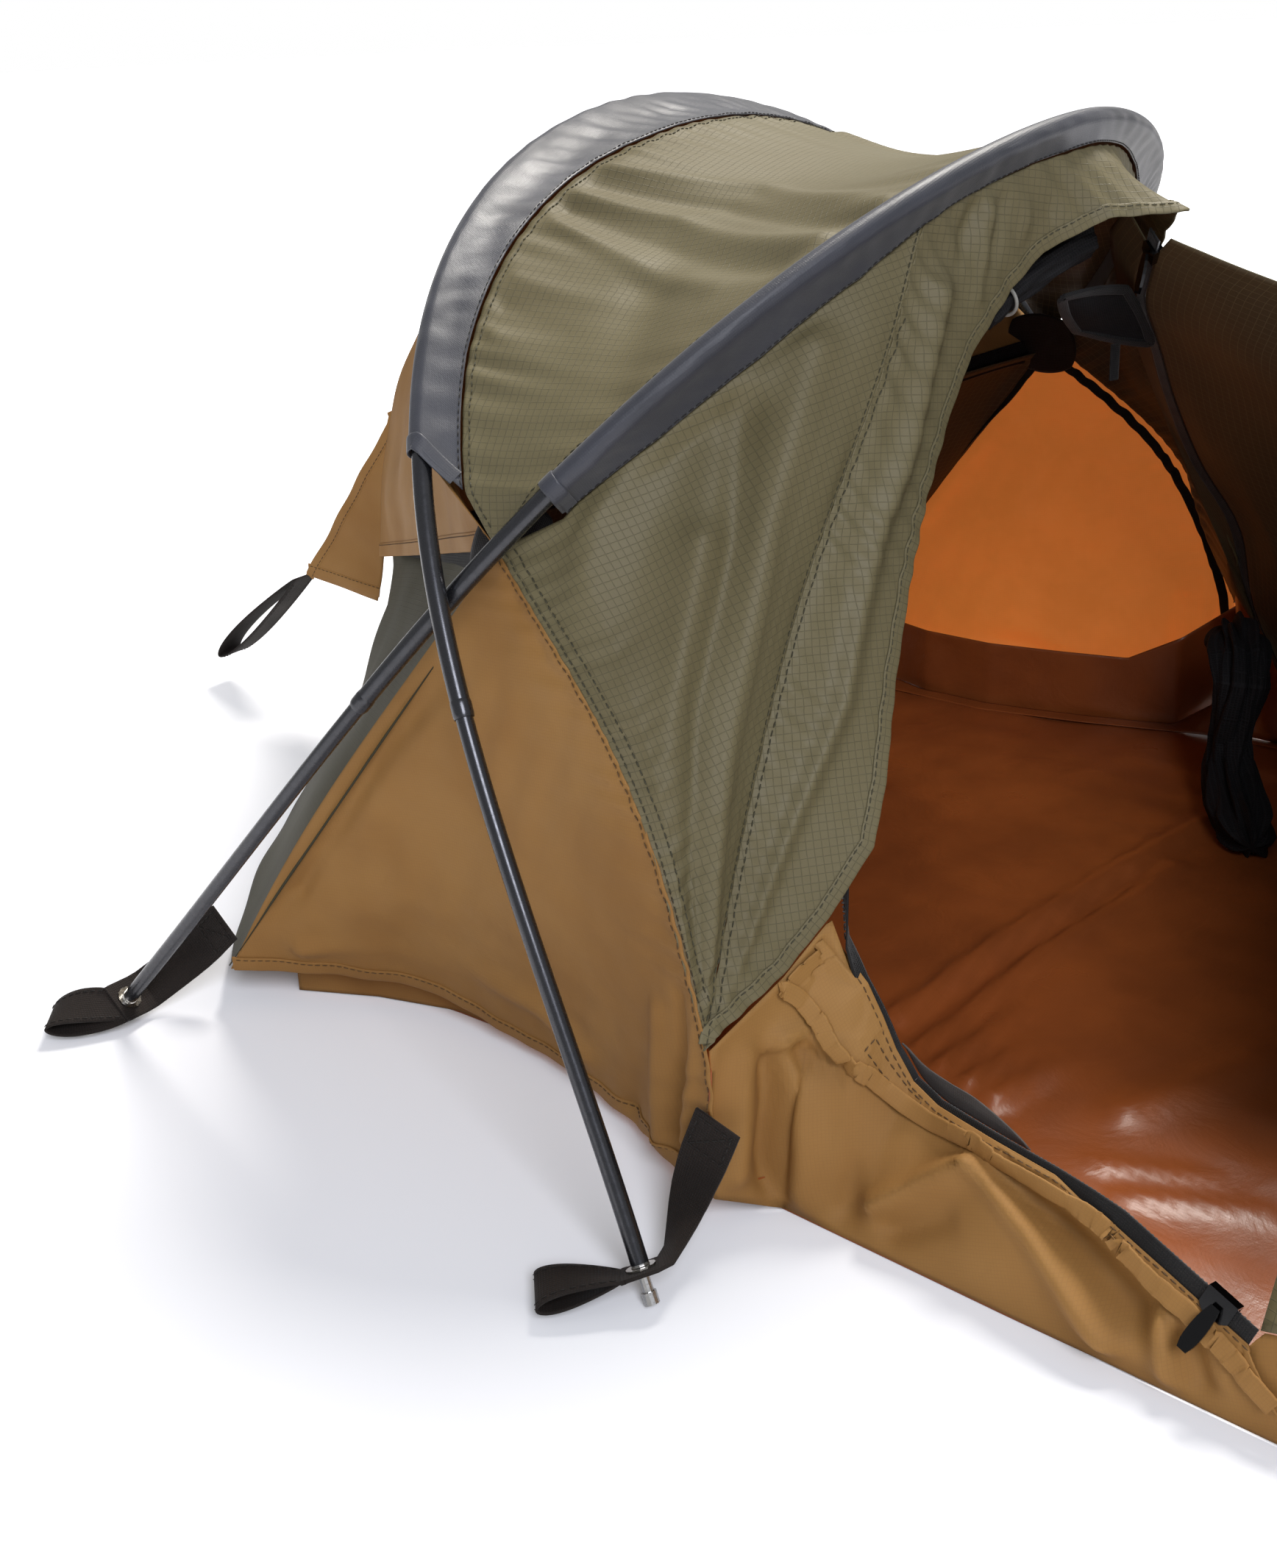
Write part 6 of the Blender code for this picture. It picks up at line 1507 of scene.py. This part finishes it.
def seamRow(name, grid, axis, fromEnd, cloth, look, distance, sides=("near",)):
    _, thread, slot = sewing[cloth]
    line, ways = borderLine(grid, axis, fromEnd, distance, look)
    for side in sides:
        flip = flips[side]
        stitches(f"{side}{name}", flip(line + ways * seamPlan["stitchLift"]), flip(ways), thread)


dartRows = int(len(hoodGrid) * 0.33)
for make, *what in (
        (hem, "OpeningHem", hoodGrid, 1, True, "olive", "hood"),
        (seamRow, "DartStitchFront", hoodGrid[2:dartRows], 1, False, "olive", "dart", 0.0035, flips),
        (seamRow, "DartStitchRear", flyGrid, 0, True, "olive", "fly", 0.0030, flips),
        (seamRow, "FlySeamOuter", flyGrid[:, 2:-2], 0, False, "olive", "fly", 0.0030, flips),
        (seamRow, "FlySeamInner", flyGrid[:, 2:-2], 0, False, "olive", "fly", 0.0085, flips),
        (seamRow, "SideSeamStitch", sideGrid[2:-2], 1, False, "tan", "side", 0.0030, flips),
        (hem, "SideHem", sideGrid, 0, True, "tan", "side", 0.010, flips),
        (seamRow, "RoofSeamStitch", roofGrid[3:-3], 1, False, "olive", "roof", 0.0040),
        (seamRow, "RoofFrontStitch", roofGrid[3:-3], 1, True, "olive", "roof", 0.0040),
        (hem, "VentHem", ventGrid[4:-4], 1, True, "tan", "vent", 0.011),
        (hem, "FinEdge", finGrid[:, 1:], 1, True, "tan", "side", 0.009),
        (hem, "FinHem", finGrid[:-1], 0, True, "tan", "side", 0.009),
        (hem, "DoorSideHem", openDoor[:-2], 0, True, "lining", "door", None, ("near",), "door"),
        (hem, "DoorFrontHem", openDoor[:, 2:], 1, False, "lining", "door", None, ("near",), "door")):
    make(*what)


bindingPlan = {"firstRow": {"near": 30, "far": 8}, "inset": 0.0085, "depth": 0.0034, "width": 0.007,
               "wall": 0.0014}


def makeInnerTapes():
    # black binding over the raised side panel's two seams, on the side that faces in
    for side, first in bindingPlan["firstRow"].items():
        flip = flips[side]
        for word, fromEnd in (("Front", False), ("Rear", True)):
            line = insetLine(sideGrid[first:], 1, fromEnd, bindingPlan["inset"])
            ways = insetLine(sideGrid[first:], 1, fromEnd, bindingPlan["inset"],
                             facing(sideGrid, looks["side"])[first:])
            ribbon(f"{side}{word}SeamTape", flip(line - ways * bindingPlan["depth"]), flip(-ways),
                   bindingPlan["width"], bindingPlan["wall"], "zipTape")


makeInnerTapes()


facingPlan = {"skirtTop": (0.0065, 0.0, 0.0040), "skirtReach": 0.022, "skirtHeight": 0.0056, "skirtBack": 12,
              "patchDepth": 0.0095, "patchHalf": 0.027, "patchCut": 0.4, "patchWall": 0.0008, "wall": 0.0006,
              "edgeOff": (0.004, 0.006, 0.0), "rows": 90, "columns": 8}


def makeFacings():
    # strips inside the seams: foot of the tub wall to floor, opening edge to far zip, and corner patches
    foot = tubGrid[:, -1]
    outer = foot + np.array(facingPlan["skirtTop"])
    outer[:, 0] += tubGrid[:, -facingPlan["skirtBack"]:, 0].max(axis=1) - foot[:, 0]
    inner = np.stack([groundLine(foot[:, 1]) + facingPlan["skirtReach"], foot[:, 1],
                      np.full(len(foot), facingPlan["skirtHeight"])], axis=1)
    skirt = ruled(outer, inner, facingPlan["columns"])
    for side, flip in flips.items():
        clothPiece(f"{side}TubSkirt", flip(skirt), np.array([0.0, -0.2, 9.0]), "rustProofing", "tan_cloth",
                   thickness=facingPlan["wall"])
        spot = flip(cornerSpot + unit(inside - cornerSpot) * facingPlan["patchDepth"])
        push = unit(inside * np.array([0.0, 1.0, 1.0]) - spot)
        level = unit(np.cross(push, [0.0, 0.0, 1.0]))
        rising = np.cross(level, push)
        x, y = roundedSquare(20, facingPlan["patchCut"])
        patch = spot + facingPlan["patchHalf"] * (x[..., None] * level + y[..., None] * rising)
        clothPiece(f"{side}CornerPatch", patch, inside, "zipTape", "black_tape", thickness=facingPlan["patchWall"])
    edge = resample(openingEdge[-2:1:-1] + np.array(facingPlan["edgeOff"]), facingPlan["rows"])
    tape = resample((farZipLine + farZipWay * zipPlan["width"])[6:zipTurn * zipPlan["fine"]], facingPlan["rows"])
    clothPiece("farZipFacing", mirrored(ruled(edge, tape, facingPlan["columns"])), inside, *olive,
               thickness=facingPlan["wall"])


makeFacings()
print("trims done")

# floor, light and camera
cameraPlan = {"place": (-0.900, 0.044, 0.541), "yaw": 52.273, "pitch": 19.634, "roll": -2.536,
              "lens": 38.436, "shift": -0.09938}


def makeCamera():
    yaw, pitch, roll = (math.radians(cameraPlan[k]) for k in ("yaw", "pitch", "roll"))
    ahead = Vector((math.sin(yaw) * math.cos(pitch), math.cos(yaw) * math.cos(pitch), -math.sin(pitch)))
    right = Vector((math.cos(yaw), -math.sin(yaw), 0.0))
    up = right.cross(ahead)
    across = math.cos(roll) * right + math.sin(roll) * up
    upward = -math.sin(roll) * right + math.cos(roll) * up
    data = bpy.data.cameras.new("camera")
    data.sensor_fit, data.sensor_height, data.lens = "VERTICAL", 36.0, cameraPlan["lens"]
    data.shift_y, data.clip_start, data.clip_end = cameraPlan["shift"], 0.01, 200.0
    made = bpy.data.objects.new("camera", data)
    turn = Matrix((across, upward, -ahead)).transposed().to_4x4()
    made.matrix_world = Matrix.Translation(cameraPlan["place"]) @ turn
    bpy.context.scene.collection.objects.link(made)
    bpy.context.scene.camera = made


makeCamera()


def groundFinish():
    # matt white paper: near the tent it keeps the soft shadow, further off the camera sees plain white
    made, tree = newFinish("studioPaper")
    matt = addNode(tree, "BsdfDiffuse", {"Color": tone("#f2f3f6"), "Roughness": 0.9})
    glow = addNode(tree, "Emission", {"Color": (1, 1, 1, 1)})
    path = addNode(tree, "LightPath")
    spot = addNode(tree, "TexCoord")
    away = addNode(tree, "VectorMath", links={0: spot.outputs["Object"]}, operation="LENGTH")
    rising = addNode(tree, "MapRange", {"From Min": 0.9, "From Max": 2.4, "To Min": 0.05, "To Max": 1.0},
                     {"Value": away.outputs["Value"]})
    tree.links.new(rising.outputs["Result"], glow.inputs["Strength"])
    extra = addNode(tree, "AddShader", links={0: matt.outputs[0], 1: glow.outputs[0]})
    mix = addNode(tree, "MixShader", links={0: path.outputs["Is Camera Ray"], 1: matt.outputs[0], 2: extra.outputs[0]})
    finishWith(tree, mix)
    return made


def makeGround():
    mesh = bpy.data.meshes.new("studioGround")
    mesh.from_pydata([(-60, -60, 0), (60, -60, 0), (60, 60, 0), (-60, 60, 0)], [], [(0, 1, 2, 3)])
    mesh.materials.append(groundFinish())
    ground = bpy.data.objects.new("studioGround", mesh)
    bpy.context.scene.collection.objects.link(ground)


makeGround()

lampPlan = {"key": {"place": (1.6, 0.7, 3.2), "size": 1.2, "power": 138.0, "colour": "#fffaf2"},
            "fill": {"place": (-1.9, -1.5, 2.3), "size": 1.5, "power": 56.0, "colour": "#f4f6ff"}}


def makeLamps():
    for name, plan in lampPlan.items():
        data = bpy.data.lights.new(name, "AREA")
        data.shape, data.size, data.energy = "DISK", plan["size"], plan["power"]
        data.color = tone(plan["colour"])[:3]
        made = bpy.data.objects.new(name, data)
        made.location = plan["place"]
        made.rotation_euler = (Vector((0, 0.5, 0.2)) - Vector(plan["place"])).to_track_quat("-Z", "Y").to_euler()
        bpy.context.scene.collection.objects.link(made)
    world = bpy.data.worlds.new("studio")
    world.use_nodes = True
    world.node_tree.nodes.clear()
    path = addNode(world.node_tree, "LightPath")
    level = addNode(world.node_tree, "Mix", {"A": 0.34, "B": 1.0}, {"Factor": path.outputs["Is Camera Ray"]},
                    data_type="FLOAT")
    sky = addNode(world.node_tree, "Background", {"Color": (1, 1, 1, 1)}, {"Strength": level.outputs["Result"]})
    addNode(world.node_tree, "OutputWorld", links={"Surface": sky.outputs[0]})
    bpy.context.scene.world = world
    bpy.context.scene.view_settings.view_transform = "Standard"


makeLamps()
print("stage done")
